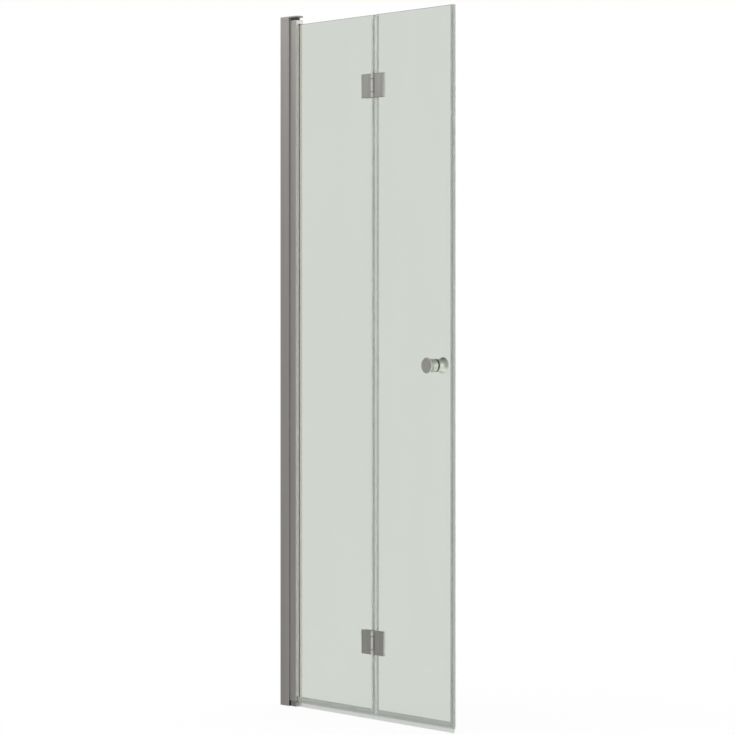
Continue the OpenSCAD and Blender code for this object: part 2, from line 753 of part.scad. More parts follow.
module wall_hinge_screws() hinge_screws(-1);
module free_hinge_screws() hinge_screws(1);

// Two flanged bushes in the middle knuckle
module knuckle_bushes(hz) color(dark_plastic) for (dir = [-1, 1])
    translate([fold_x, -plate_y, hz]) mirror([0, 0, dir < 0 ? 1 : 0]) {
        bore = hinge_pin_r + pin_clear;
        translate([0, 0, knuckle_h / 2]) ring(knuckle_flange_r, bore, knuckle_flange_t - pin_clear);
        translate([0, 0, knuckle_h / 2 - knuckle_h * 0.4]) ring(knuckle_bush_r, bore, knuckle_h * 0.4);
    }

module upper_knuckle_bushes() knuckle_bushes(upper_hinge_z);
module lower_knuckle_bushes() knuckle_bushes(lower_hinge_z);

module hinge_pin(hz) color(satin_steel)
    translate([fold_x, -plate_y, hz - plate_h / 2]) cylinder(r = hinge_pin_r, h = plate_h);

module upper_hinge_pin() hinge_pin(upper_hinge_z);
module lower_hinge_pin() hinge_pin(lower_hinge_z);

// ---------- free leaf ----------

module free_glass() color(clear_glass) difference() {
    pane(free_glass_x, free_glass_end, 1);
    y_bar(knob_x, -glass_half - over, knob_z, glass_hole_r, glass_t + 2 * over);
}

module free_fold_seal() color(clear_seal) fold_seal(-1);

// Seal on the closing edge with a hollow square nose
module closing_seal() color(clear_seal)
    translate([free_glass_end, 0, grip_bottom]) linear_extrude(glass_top - grip_bottom) difference() {
        edge_seal_section(closing_grip, closing_nose);
        translate([seal_t, -glass_half]) square([closing_nose - 2 * seal_t, glass_t]);
    }

module free_bottom_seal() color(clear_seal) {
    along_x(free_glass_x + free_seal_grip, free_glass_end - closing_grip) bottom_grip_section();
    along_x(fold_x + fold_gap, edge_x) lip_section();
}

// ---------- knob ----------

// One knob along +Z with its base at z = 0
module knob_shape() difference() {
    rotate_extrude() polygon(concat(
        [[0, 0], [knob_base_r, 0], [knob_base_r, knob_neck]],
        [for (a = [0:15:90]) [
            knob_face_r - knob_edge_r + knob_edge_r * cos(a),
            knob_d - knob_edge_r + knob_edge_r * sin(a)
        ]],
        [[0, knob_d]]
    ));
    translate([0, 0, -over]) cylinder(r = stud_r, h = stud_bite + over);
}

// Places a knob piece on one face of the glass
module on_glass(side, lift) translate([knob_x, side * (glass_half + lift), knob_z])
    rotate([side * -90, 0, 0]) children();

module outer_knob() color(satin_steel) on_glass(-1, knob_washer_t) knob_shape();
module inner_knob() color(satin_steel) on_glass(1, knob_washer_t) knob_shape();

module knob_stud() color(satin_steel)
    on_glass(-1, -glass_t - knob_washer_t - stud_bite)
        cylinder(r = stud_r, h = glass_t + 2 * (knob_washer_t + stud_bite));

module knob_sleeve() color(dark_plastic)
    on_glass(-1, -glass_t) ring(glass_hole_r - sleeve_gap, stud_r + sleeve_gap, glass_t);

module knob_washers() color(dark_plastic) for (side = [-1, 1])
    on_glass(side, 0) ring(knob_base_r - 1, stud_r + sleeve_gap, knob_washer_t);

wall_profile();
profile_foot();
lock_screws();
lock_nuts();
lock_screw_covers();
adjusting_profile();
top_cap();
top_cap_screws();
top_pivot_pin();
top_pivot_collar();
bottom_pivot_block();
bottom_block_screws();
bottom_pivot_pin();
thrust_washer();
pivot_gap_seal();
pivot_stile();
stile_top_cap();
stile_bottom_cap();
top_pivot_bush();
bottom_pivot_bush();
front_glass_gasket();
rear_glass_gasket();
glass_packers();
wall_glass();
wall_fold_seal();
wall_bottom_seal();
upper_wall_hinge_plate();
lower_wall_hinge_plate();
upper_wall_back_plate();
lower_wall_back_plate();
wall_hinge_pads();
wall_hinge_sleeves();
wall_hinge_screws();
upper_knuckle_bushes();
lower_knuckle_bushes();
free_glass();
free_fold_seal();
closing_seal();
free_bottom_seal();
upper_free_hinge_plate();
lower_free_hinge_plate();
upper_free_back_plate();
lower_free_back_plate();
free_hinge_pads();
free_hinge_sleeves();
free_hinge_screws();
upper_hinge_pin();
lower_hinge_pin();
outer_knob();
inner_knob();
knob_stud();
knob_sleeve();
knob_washers();
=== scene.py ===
"""Looks of a bifold shower door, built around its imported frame.

The wall profile, panes, seals, gaskets, hinge plates, caps, lower block, screw heads and knobs are
modelled here with rounded edges and soft lips. The other profiles, pins, bushes and plain metalwork
keep the frame's own meshes. Sizes are in millimetres until a mesh is made. X runs along the closed
door from the wall, -Y is the outside, +Y is the inside of the shower, and Z is up.
"""

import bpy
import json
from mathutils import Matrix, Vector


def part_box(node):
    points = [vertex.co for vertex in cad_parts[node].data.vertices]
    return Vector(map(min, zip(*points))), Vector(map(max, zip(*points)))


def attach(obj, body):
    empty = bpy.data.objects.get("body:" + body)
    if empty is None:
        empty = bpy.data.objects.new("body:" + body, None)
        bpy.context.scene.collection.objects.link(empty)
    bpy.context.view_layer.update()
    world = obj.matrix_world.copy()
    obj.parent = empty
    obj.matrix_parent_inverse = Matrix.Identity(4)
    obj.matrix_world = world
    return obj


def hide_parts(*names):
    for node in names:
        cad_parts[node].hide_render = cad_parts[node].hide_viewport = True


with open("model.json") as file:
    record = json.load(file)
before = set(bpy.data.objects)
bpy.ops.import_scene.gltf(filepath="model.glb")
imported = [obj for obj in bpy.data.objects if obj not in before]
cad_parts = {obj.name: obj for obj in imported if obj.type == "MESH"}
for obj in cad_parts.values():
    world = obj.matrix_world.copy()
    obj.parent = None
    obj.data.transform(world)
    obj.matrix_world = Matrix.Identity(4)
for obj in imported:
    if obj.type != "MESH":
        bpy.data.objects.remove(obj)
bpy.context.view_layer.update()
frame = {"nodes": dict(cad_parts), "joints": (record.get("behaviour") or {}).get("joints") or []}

import json
import logging
import math
from collections.abc import Sequence
from dataclasses import dataclass, replace
from enum import Enum
from typing import ClassVar

import bmesh
import bpy
from mathutils import Vector
from mathutils.geometry import tessellate_polygon

LOG = logging.getLogger("shower_door")
MM = 0.001
HAIRLINE = 0.05  # gap that keeps two faces apart
HOLE_PLAY = 0.1  # between a screw head and its hole
CREASE_DEG = 32.0
GLASS_HALF = 3.0
CLAMP_REACH = 30.0  # from the fold axis to the hinges' clamping screws
CLAMP_RISE = 16.0  # from a hinge's middle to its clamping screws
LEVELS = ("lower", "upper")

Point = tuple[float, float]
Outline = list[Point]
Colour = tuple[float, float, float]
Socket = bpy.types.NodeSocket


class Body(Enum):
    """The moving bodies of the frame."""

    WALL_SIDE = "wall_side"
    ADJUSTER = "adjuster"
    WALL_LEAF = "wall_leaf"
    FREE_LEAF = "free_leaf"


class Side(Enum):
    """Which leaf a piece belongs to, as the direction from the fold axis."""

    WALL = -1
    FREE = 1

    @property
    def leaf(self) -> str:
        """The leaf's name in the frame's nodes."""
        return self.name.lower()

    @property
    def body(self) -> Body:
        """The leaf's moving body."""
        return Body(f"{self.leaf}_leaf")


class Plane(Enum):
    """What an outline or a turned form is drawn on: the directions of its u, its v and its depth."""

    PLAN = ((1, 0, 0), (0, 1, 0), (0, 0, 1))
    FRONT = ((1, 0, 0), (0, 0, 1), (0, 1, 0))
    SIDE = ((0, 1, 0), (0, 0, 1), (1, 0, 0))
    OUTSIDE = ((1, 0, 0), (0, 0, 1), (0, -1, 0))
    INSIDE = ((1, 0, 0), (0, 0, -1), (0, 1, 0))

    def place(self, u: float, v: float, depth: float, centre: Sequence[float] = (0, 0, 0)) -> Vector:
        """A point in the door's space, in metres, from one counted in millimetres from a centre."""
        first, second, third = (Vector(axis) for axis in self.value)
        return (Vector(centre) + first * u + second * v + third * depth) * MM


# ---------- outlines ----------


def arc(centre: Point, radius: float, start: float, end: float, steps: int = 12) -> Outline:
    """Points on an arc from one angle to another, in degrees, with a number of chords."""
    turns = [math.radians(start + (end - start) * i / steps) for i in range(steps + 1)]
    return [(centre[0] + radius * math.cos(t), centre[1] + radius * math.sin(t)) for t in turns]


def ring(centre: Point, radius: float, steps: int = 48) -> Outline:
    """A round hole's outline, wound the way that prism() takes a hole."""
    return arc(centre, radius, 360, 0, steps)[:-1]


def rectangle(left: float, bottom: float, right: float, top: float) -> Outline:
    """A rectangle's corners, counterclockwise."""
    return [(left, bottom), (right, bottom), (right, top), (left, top)]


def channel(depth: float, half: float, inner: float, back: float) -> Outline:
    """The corners of a U section that is open to +u, half and inner being half its widths."""
    return [
        (0, -half), (depth, -half), (depth, -inner), (back, -inner),
        (back, inner), (depth, inner), (depth, half), (0, half),
    ]


def rounded(corners: Sequence[Point], radii: float | Sequence[float], steps: int = 4) -> Outline:
    """Rounds the corners of an outline.

    Args:
        corners: The sharp corners in order.
        radii: One radius for every corner, or one for each.
        steps: Number of chords at each corner.

    Returns:
        The rounded outline.
    """
    if isinstance(radii, (int, float)):
        radii = [radii] * len(corners)
    outline: Outline = []
    for i, (corner, radius) in enumerate(zip(corners, radii)):
        if radius <= 0:
            outline.append(tuple(corner))
            continue
        here = Vector(corner)
        back = (Vector(corners[i - 1]) - here).normalized()
        ahead = (Vector(corners[(i + 1) % len(corners)]) - here).normalized()
        half = math.acos(max(-1.0, min(1.0, back.dot(ahead)))) / 2
        centre = here + (back + ahead).normalized() * (radius / math.sin(half))
        first = here + back * (radius / math.tan(half)) - centre
        last = here + ahead * (radius / math.tan(half)) - centre
        begin = math.atan2(first.y, first.x)
        sweep = (math.atan2(last.y, last.x) - begin + math.pi) % math.tau - math.pi
        outline += arc(tuple(centre), radius, math.degrees(begin), math.degrees(begin + sweep), steps)
    return outline


def inset(outline: Outline, depth: float) -> Outline:
    """Moves an outline into its material.

    Args:
        outline: A counterclockwise outer outline, or a clockwise hole.
        depth: How far it moves.

    Returns:
        The moved outline with as many points.
    """
    if not depth:
        return list(outline)
    least_lean = 0.35
    moved: Outline = []
    for i, point in enumerate(outline):
        here = Vector(point)
        back = (here - Vector(outline[i - 1])).normalized()
        ahead = (Vector(outline[(i + 1) % len(outline)]) - here).normalized()
        normal = Vector((-(back + ahead).y, (back + ahead).x)).normalized()
        lean = max(least_lean, normal.dot(Vector((-back.y, back.x))))
        moved.append(tuple(here + normal * (depth / lean)))
    return moved


def mirrored(outline: Outline) -> Outline:
    """The outline mirrored in its first coordinate, still counterclockwise."""
    return [(-u, v) for u, v in reversed(outline)]


def shifted(outline: Outline, du: float, dv: float = 0.0) -> Outline:
    """The outline moved in its plane."""
    return [(u + du, v + dv) for u, v in outline]


# ---------- meshes ----------


def linked(name: str, data: bpy.types.ID) -> bpy.types.Object:
    """A new object in the scene.

    Args:
        name: Its name.
        data: Its mesh, camera or lamp.

    Returns:
        The object.
    """
    made = bpy.data.objects.new(name, data)
    bpy.context.scene.collection.objects.link(made)
    return made


def smooth_flats(mesh: bpy.types.Mesh) -> None:
    """Shades a mesh smooth except over its sharp edges."""
    mesh.polygons.foreach_set("use_smooth", [True] * len(mesh.polygons))
    mesh.set_sharp_from_angle(angle=math.radians(CREASE_DEG))


class Form:
    """Closed bodies gathered in one mesh. Each call of prism, turned or loft adds one body."""

    def __init__(self) -> None:
        """Starts an empty mesh."""
        self.mesh = bmesh.new()

    def _bridge(self, lower: list, upper: list, finish: int = 0) -> None:
        """Joins two rings of as many vertices with quads.

        Args:
            lower: The first ring.
            upper: The next one.
            finish: Index of the finish.
        """
        for i in range(len(lower)):
            ahead = (i + 1) % len(lower)
            face = self.mesh.faces.new((lower[i], lower[ahead], upper[ahead], upper[i]))
            face.material_index = finish

    def prism(
        self,
        plane: Plane,
        outlines: Sequence[Outline],
        start: float,
        end: float,
        edges: tuple[float, float] = (0.0, 0.0),
        steps: int = 3,
        side_finish: int = 0,
    ) -> None:
        """Adds an outline with depth, its rims rounded.

        Args:
            plane: The plane of the outline.
            outlines: The outer outline, counterclockwise, and any holes, clockwise.
            start: Where the depth begins, in millimetres.
            end: Where it ends, in millimetres.
            edges: Radius of the rim at the start and at the end.
            steps: Number of chords in a rounded rim; 1 is a bevel.
            side_finish: Index of the finish on the sides.
        """
        levels: list[tuple[float, float]] = []
        for height, edge, way in ((start, edges[0], 1), (end, edges[1], -1)):
            turns = [math.pi / 2 * i / steps for i in range(steps + 1)] if edge else [math.pi / 2]
            rim = [(height + way * edge * (1 - math.cos(t)), edge * (1 - math.sin(t))) for t in turns]
            levels += rim if way > 0 else rim[::-1]
        ends: list[list] = [[], []]
        flat: list[list[list[Vector]]] = [[], []]
        for outline in outlines:
            rings = []
            for height, depth in levels:
                moved = inset(outline, depth)
                rings.append([self.mesh.verts.new(plane.place(u, v, height)) for u, v in moved])
            for lower, upper in zip(rings, rings[1:]):
                self._bridge(lower, upper, side_finish)
            for k, level in enumerate((0, -1)):
                ends[k] += rings[level]
                flat[k].append([Vector((u, v, 0.0)) for u, v in inset(outline, levels[level][1])])
        for vertices, polygons in zip(ends, flat):
            for triangle in tessellate_polygon(polygons):
                self.mesh.faces.new([vertices[i] for i in triangle])

    def loft(self, rings: Sequence[Sequence[Vector]], bored: bool = False) -> None:
        """Adds a body through rings of as many points.

        Args:
            rings: The rings in order, in metres; a ring of one point closes to a tip.
            bored: Whether the last ring joins the first; otherwise the ends are closed.
        """
        rows = [[self.mesh.verts.new(point) for point in points] for points in rings]
        for lower, upper in zip(rows, rows[1:] + rows[:1] if bored else rows[1:]):
            if len(lower) == len(upper):
                self._bridge(lower, upper)
                continue
            tip, base = (lower[0], upper) if len(lower) == 1 else (upper[0], lower)
            for i in range(len(base)):
                self.mesh.faces.new((base[i], base[(i + 1) % len(base)], tip))
        for row in (rows[0], rows[-1]):
            if len(row) > 1 and not bored:
                self.mesh.faces.new(row)

    def turned(
        self, plane: Plane, centre: Sequence[float], profile: Sequence[Point], steps: int = 64,
        bore: float = 0.0,
    ) -> None:
        """Adds a turned body.

        Args:
            plane: The plane that it stands on.
            centre: The foot of the axis, in millimetres.
            profile: Radius and height of each ring, from the foot up.
            steps: Number of points in a ring.
            bore: Radius of a bore from end to end, or 0.
        """
        walls = [*profile, (bore, profile[-1][1]), (bore, profile[0][1])] if bore else profile
        turns = [math.tau * i / steps for i in range(steps)]
        rings = [
            [
                plane.place(radius * math.cos(t), radius * math.sin(t), height, centre)
                for t in (turns if radius > 0 else [0.0])
            ]
            for radius, height in walls
        ]
        self.loft(rings, bool(bore))

    def screw_head(
        self, plane: Plane, centre: Sequence[float], radius: float, shank: float, depth: float
    ) -> None:
        """Adds a countersunk head with a hexagon socket and a short shank below it.

        Args:
            plane: The plane that the head lies in.
            centre: The middle of its top face, in millimetres.
            radius: Radius of the head.
            shank: Radius of the shank.
            depth: Depth of the countersunk cone.
        """
        steps, rim, land, stub, mouth = 48, 0.15, 0.4, 2.0, 1.08
        socket, floor = shank * 0.62, -depth * 0.75

        def row(size: float, height: float, hexagon: bool = False) -> list[Vector]:
            """One ring of the head, round or with six flats; a size of 0 is its middle."""
            points = []
            for i in range(steps if size else 1):
                turn = math.tau * i / steps
                reach = size / math.cos((turn % (math.pi / 3)) - math.pi / 6) if hexagon else size
                points.append(plane.place(reach * math.cos(turn), reach * math.sin(turn), height, centre))
            return points

        self.loft([
            row(0, floor), row(socket, floor, True), row(socket, -rim, True), row(socket * mouth, 0, True),
            row(radius - rim, 0), row(radius, -rim), row(radius, -land), row(shank, -depth),
            row(shank, -depth - stub), row(0, -depth - stub),
        ])

    def baked(self, name: str) -> bpy.types.Mesh:
        """The gathered bodies as a mesh; the form is spent after that.

        Args:
            name: The mesh's name.

        Returns:
            The mesh.
        """
        bmesh.ops.recalc_face_normals(self.mesh, faces=self.mesh.faces)
        mesh = bpy.data.meshes.new(name)
        self.mesh.to_mesh(mesh)
        self.mesh.free()
        return mesh

    def piece(
        self, name: str, body: Body, finishes: Sequence["Finish"], nodes: Sequence[str]
    ) -> bpy.types.Object:
        """Turns the gathered bodies into a piece of the door.

        Args:
            name: The piece's name.
            body: The body it rides on.
            finishes: Its finishes by index.
            nodes: The frame's nodes that it stands for.

        Returns:
            The piece.
        """
        mesh = self.baked(name)
        smooth_flats(mesh)
        for finish in finishes:
            mesh.materials.append(finish.material())
        made = linked(name, mesh)
        made.modifiers.new("weighted_normals", "WEIGHTED_NORMAL").keep_sharp = True
        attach(made, body.value)
        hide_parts(*nodes)
        LOG.info("%s: %d faces on %s", name, len(mesh.polygons), body.value)
        return made

    def drill(self, piece: bpy.types.Object) -> None:
        """Cuts the gathered bodies out of a piece for good.

        Args:
            piece: The piece.
        """
        tool = linked("cutters", self.baked("cutters"))
        cut = piece.modifiers.new("holes", "BOOLEAN")
        cut.operation, cut.solver, cut.object = "DIFFERENCE", "EXACT", tool
        weigh = piece.modifiers["weighted_normals"]
        weigh.show_viewport = False
        bpy.context.view_layer.update()
        evaluated = piece.evaluated_get(bpy.context.evaluated_depsgraph_get())
        drilled = bpy.data.meshes.new_from_object(evaluated)
        piece.modifiers.remove(cut)
        weigh.show_viewport = True
        spent = [piece.data, tool.data]
        piece.data = drilled
        smooth_flats(drilled)
        bpy.data.objects.remove(tool)
        for mesh in spent:
            bpy.data.meshes.remove(mesh)


# ---------- shader groups ----------


class Tree:
    """A short way to add and join the nodes of one shader tree."""

    def __init__(self, tree: bpy.types.NodeTree) -> None:
        """Takes the tree that the nodes go into."""
        self.tree = tree

    @classmethod
    def of(cls, owner: bpy.types.Material | bpy.types.World) -> "Tree":
        """The emptied tree of a material or of the world.

        Args:
            owner: The material or the world.

        Returns:
            The tree.
        """
        owner.use_nodes = True
        owner.node_tree.nodes.clear()
        return cls(owner.node_tree)

    def add(self, kind: str, inputs: dict | None = None, **settings: object) -> bpy.types.Node:
        """Adds a node.

        Args:
            kind: The node's type.
            inputs: Value or source socket for each input, by name or index.
            **settings: The node's own settings.

        Returns:
            The new node.
        """
        node = self.tree.nodes.new(kind)
        for name, setting in settings.items():
            setattr(node, name, setting)
        for name, value in (inputs or {}).items():
            if isinstance(value, Socket):
                self.tree.links.new(value, node.inputs[name])
            else:
                node.inputs[name].default_value = value
        return node

    def blend(self, factor: Socket, first: Colour, second: Colour) -> Socket:
        """A colour between two by a factor."""
        colours = {0: factor, 6: (*first, 1), 7: (*second, 1)}
        return self.add("ShaderNodeMix", colours, data_type="RGBA").outputs[2]

    def maths(self, operation: str, *values: object) -> Socket:
        """The result of maths on values or sockets."""
        return self.add("ShaderNodeMath", dict(enumerate(values)), operation=operation).outputs[0]

    def vector(self, operation: str, first: Socket, second: object = (0, 0, 0)) -> Socket:
        """The result of vector maths.

        Args:
            operation: The operation.
            first: The vector.
            second: The other vector or the scale, as a value or a socket.

        Returns:
            The result socket.
        """
        other = "Scale" if operation == "SCALE" else 1
        node = self.add("ShaderNodeVectorMath", {0: first, other: second}, operation=operation)
        return node.outputs["Value" if operation in ("LENGTH", "DOT_PRODUCT") else "Vector"]

    def mapped(self, value: Socket, source: Point, target: Point = (0, 1), soft: bool = False) -> Socket:
        """A value brought from one range to another.

        Args:
            value: The value.
            source: The range that it comes from.
            target: The range that it goes to.
            soft: Whether it eases in and out.

        Returns:
            The result socket.
        """
        names = ("From Min", "From Max", "To Min", "To Max")
        inputs = {"Value": value, **dict(zip(names, (*source, *target)))}
        kind = "SMOOTHSTEP" if soft else "LINEAR"
        return self.add("ShaderNodeMapRange", inputs, interpolation_type=kind).outputs[0]

    def noise(self, place: Socket, scale: object, detail: float, roughness: float = 0.5) -> Socket:
        """Noise over a place."""
        inputs = {"Vector": place, "Scale": scale, "Detail": detail, "Roughness": roughness}
        return self.add("ShaderNodeTexNoise", inputs).outputs[0]

    def mirrored_once(self) -> Socket:
        """1 for what a shiny surface reflects, and 0 for all else."""
        return self.maths("MINIMUM", self.add("ShaderNodeLightPath").outputs["Glossy Depth"], 1.0)


class EffectTree(Tree):
    """The tree of one effect's group; each effect gives its tone and its height."""

    def __init__(self, tree: bpy.types.NodeTree) -> None:
        """Takes the group, and adds its inputs and the object's own coordinates."""
        super().__init__(tree)
        self.source = self.add("NodeGroupInput").outputs
        self.place = self.add("ShaderNodeTexCoord").outputs["Object"]

    def drawn_lines(self) -> tuple[Socket, Socket]:
        """Fine parallel lines of drawn metal: Density is lines per metre along each axis."""
        spread = self.vector("MULTIPLY", self.place, self.source["Density"])
        fine = self.noise(spread, 1.0, 3.0, 0.65)
        broad = self.noise(spread, 0.12, 2.0)
        return self.mapped(self.maths("ADD", fine, broad), (0.7, 1.3)), fine

    def turned_rings(self) -> tuple[Socket, Socket]:
        """Fine rings about an axis along Y through Centre, as a lathe leaves them."""
        offset = self.vector("SUBTRACT", self.place, self.source["Centre"])
        parts = self.add("ShaderNodeSeparateXYZ", {0: offset}).outputs
        flat = self.add("ShaderNodeCombineXYZ", {0: parts[0], 2: parts[2]}).outputs[0]
        reach = self.vector("LENGTH", flat)
        polar = self.add("ShaderNodeCombineXYZ", {0: reach, 1: parts[1]}).outputs[0]
        fine = self.noise(self.vector("SCALE", polar, self.source["Density"]), 1.0, 2.0)
        return self.mapped(fine, (0.3, 0.7)), fine

    def mould_grain(self) -> tuple[Socket, Socket]:
        """The fine spark-eroded grain of a moulded part: Density is grains per metre."""
        inputs = {"Vector": self.place, "Scale": self.source["Density"]}
        grain = self.add("ShaderNodeTexVoronoi", inputs, feature="SMOOTH_F1")
        return self.noise(self.place, 90.0, 3.0), grain.outputs["Distance"]

    def clouding(self) -> tuple[Socket, Socket]:
        """Faint clouds and streaks that dried water leaves: Density is clouds per metre."""
        streaks = self.vector("MULTIPLY", self.place, (1.0, 1.0, 0.25))
        cloud = self.noise(streaks, self.source["Density"], 4.0)
        return self.mapped(cloud, (0.35, 0.65)), cloud


class Effect(Enum):
    """The effects that several finishes share, each one shader group."""

    DRAWN_LINES = "drawn_lines"
    TURNED_RINGS = "turned_rings"
    MOULD_GRAIN = "mould_grain"
    CLOUDING = "clouding"

    def inputs(self) -> dict[str, str]:
        """Name and type of each input of the group."""
        if self is Effect.DRAWN_LINES:
            return {"Density": "NodeSocketVector"}
        centre = {"Centre": "NodeSocketVector"} if self is Effect.TURNED_RINGS else {}
        return {**centre, "Density": "NodeSocketFloat"}

    def group(self) -> bpy.types.NodeTree:
        """The effect's shader group, built on first use."""
        found = bpy.data.node_groups.get(self.value)
        if found:
            return found
        tree = bpy.data.node_groups.new(self.value, "ShaderNodeTree")
        for name, kind in self.inputs().items():
            tree.interface.new_socket(name, in_out="INPUT", socket_type=kind)
        for name in ("Tone", "Height"):
            tree.interface.new_socket(name, in_out="OUTPUT", socket_type="NodeSocketFloat")
        nodes = EffectTree(tree)
        tone, height = getattr(nodes, self.value)()
        nodes.add("NodeGroupOutput", {"Tone": tone, "Height": height})
        return tree


# ---------- finishes ----------


@dataclass(frozen=True)
class Finish:
    """A surface finish, which becomes one material, varied by its effect's tone."""

    name: str
    slot: str
    colour: Colour
    second_colour: Colour
    roughness: tuple[float, float]
    bump: float = 0.0
    density: float | tuple[float, float, float] = 1.0
    effect: ClassVar[Effect]
    constants: ClassVar[dict[str, float]] = {}

    def settings(self) -> dict[str, object]:
        """The inputs of the effect's group."""
        return {"Density": self.density}

    def material(self) -> bpy.types.Material:
        """The finish's material, built on first use."""
        found = bpy.data.materials.get(self.name)
        if found:
            return found
        made = bpy.data.materials.new(self.name)
        nodes = Tree.of(made)
        effect = nodes.add("ShaderNodeGroup", self.settings(), node_tree=self.effect.group()).outputs
        inputs = {
            "Base Color": nodes.blend(effect["Tone"], self.colour, self.second_colour),
            "Roughness": nodes.mapped(effect["Tone"], (0, 1), self.roughness),
            **self.constants,
        }
        if self.bump:
            relief = {"Strength": self.bump, "Distance": 0.1 * MM, "Height": effect["Height"]}
            inputs["Normal"] = nodes.add("ShaderNodeBump", relief).outputs[0]
        shader = nodes.add("ShaderNodeBsdfPrincipled", inputs)
        nodes.add("ShaderNodeOutputMaterial", {"Surface": shader.outputs[0]})
        return made


@dataclass(frozen=True)
class DrawnMetal(Finish):
    """Satin metal with fine lines along the way it was drawn or brushed."""

    density: tuple[float, float, float] = (900.0, 900.0, 6.0)
    effect = Effect.DRAWN_LINES
    constants = {"Metallic": 1.0}


@dataclass(frozen=True)
class TurnedMetal(Finish):
    """Satin metal turned about an axis along Y."""

    density: float = 1400.0
    centre: tuple[float, float, float] = (0.0, 0.0, 0.0)
    effect = Effect.TURNED_RINGS
    constants = {"Metallic": 1.0}

    def settings(self) -> dict[str, object]:
        """The inputs of the effect's group, with the axis."""
        return {"Centre": self.centre, "Density": self.density}


@dataclass(frozen=True)
class Moulding(Finish):
    """Moulded plastic or rubber."""

    density: float = 2600.0
    effect = Effect.MOULD_GRAIN


@dataclass(frozen=True)
class SheetGlass(Finish):
    """Clear glass with the faint clouds that dried water leaves."""

    density: float = 7.0
    effect = Effect.CLOUDING
    constants = {"Metallic": 0.0, "Transmission Weight": 1.0, "IOR": 1.52}


@dataclass(frozen=True)
class SoftVinyl(Finish):
    """Nearly clear soft vinyl with fine lines along the way it was extruded."""

    density: tuple[float, float, float] = (700.0, 700.0, 5.0)
    effect = Effect.DRAWN_LINES
    constants = {"Metallic": 0.0, "Transmission Weight": 0.8, "IOR": 1.46, "Specular IOR Level": 0.2}


SATIN_ALUMINIUM = DrawnMetal(
    "satin_anodised_aluminium", "satin_aluminium", (0.35, 0.335, 0.315), (0.41, 0.395, 0.375),
    (0.34, 0.42), 0.12,
)
SATIN_PLATE = DrawnMetal(
    "satin_plated_metal", "satin_nickel", (0.36, 0.355, 0.335), (0.42, 0.415, 0.395), (0.28, 0.36), 0.10
)
END_CAP_METAL = replace(SATIN_ALUMINIUM, name="satin_end_cap_metal", slot="satin_nickel")
SATIN_STEEL = DrawnMetal(
    "satin_stainless_steel", "satin_steel", (0.42, 0.41, 0.39), (0.50, 0.49, 0.47), (0.26, 0.34), 0.10
)
BEARING_BRONZE = DrawnMetal(
    "bearing_bronze", "bearing_bronze", (0.52, 0.36, 0.18), (0.60, 0.44, 0.24), (0.30, 0.40), 0.10
)
MOULDED_GREY = Moulding(
    "moulded_grey_plastic", "moulded_grey", (0.26, 0.255, 0.245), (0.31, 0.30, 0.29), (0.42, 0.55), 0.25
)
DARK_ZINC = DrawnMetal(
    "dark_plated_zinc", "dark_zinc", (0.235, 0.225, 0.22), (0.275, 0.265, 0.26), (0.34, 0.42), 0.10
)
DARK_PLASTIC = Moulding(
    "dark_acetal", "dark_plastic", (0.045, 0.043, 0.040), (0.065, 0.062, 0.058), (0.38, 0.50), 0.20
)
DARK_RUBBER = Moulding(
    "dark_washer_rubber", "dark_rubber", (0.075, 0.077, 0.07), (0.10, 0.103, 0.095), (0.55, 0.70), 0.30,
    1800.0,
)
# The gap seal's grey is partly the seal's own rubber and partly painted shade in the narrow gap beside the
# stile.
GAP_RUBBER_AND_SHADE = replace(
    DARK_RUBBER, name="gap_rubber_and_painted_shade", colour=(0.30, 0.30, 0.285), second_colour=(0.36, 0.36, 0.345)
)
SOFT_GREY = Moulding(
    "soft_grey_gasket", "soft_grey", (0.64, 0.635, 0.615), (0.72, 0.715, 0.695), (0.50, 0.62), 0.20, 1800.0
)
CLEAR_GLASS = SheetGlass(
    "clear_safety_glass", "clear_glass", (0.655, 0.693, 0.643), (0.665, 0.703, 0.653), (0.0, 0.012)
)
GLASS_EDGE = SheetGlass(
    "ground_glass_edge", "clear_glass", (0.28, 0.35, 0.30), (0.33, 0.40, 0.35), (0.10, 0.18), 0.0, 60.0
)


def vinyl(name: str, colour: Colour, second_colour: Colour) -> SoftVinyl:
    """The clear vinyl at one depth of tint; the darker nose copies are painted shade, the lighter free grip
    copy a painted highlight.
    """
    return SoftVinyl(f"clear_soft_vinyl{name}", "clear_seal", colour, second_colour, (0.16, 0.24))


CLEAR_VINYL = vinyl("", (0.86, 0.88, 0.85), (0.91, 0.93, 0.90))
# The free grip is a lighter copy of the clear vinyl: a painted highlight on the fold.
FREE_GRIP_LIT_VINYL = vinyl("_free_grip", (0.92, 0.94, 0.91), (0.95, 0.97, 0.94))
# The noses are darker copies of the clear vinyl: painted shade where the two folded seals face each other.
WALL_NOSE_SHADED_VINYL = vinyl("_wall_nose", (0.58, 0.60, 0.57), (0.65, 0.67, 0.64))
FREE_NOSE_SHADED_VINYL = vinyl("_free_nose", (0.40, 0.42, 0.39), (0.47, 0.49, 0.46))
CLOSING_VINYL = vinyl("_closing", (0.67, 0.69, 0.66), (0.73, 0.75, 0.72))
LEVEL_DENSITY = (5.0, 700.0, 700.0)
LEVEL_VINYL = replace(vinyl("_level", (0.66, 0.68, 0.66), (0.74, 0.76, 0.73)), density=LEVEL_DENSITY)
GRIP_VINYL = replace(vinyl("_grip", (0.76, 0.78, 0.75), (0.83, 0.85, 0.82)), density=LEVEL_DENSITY)

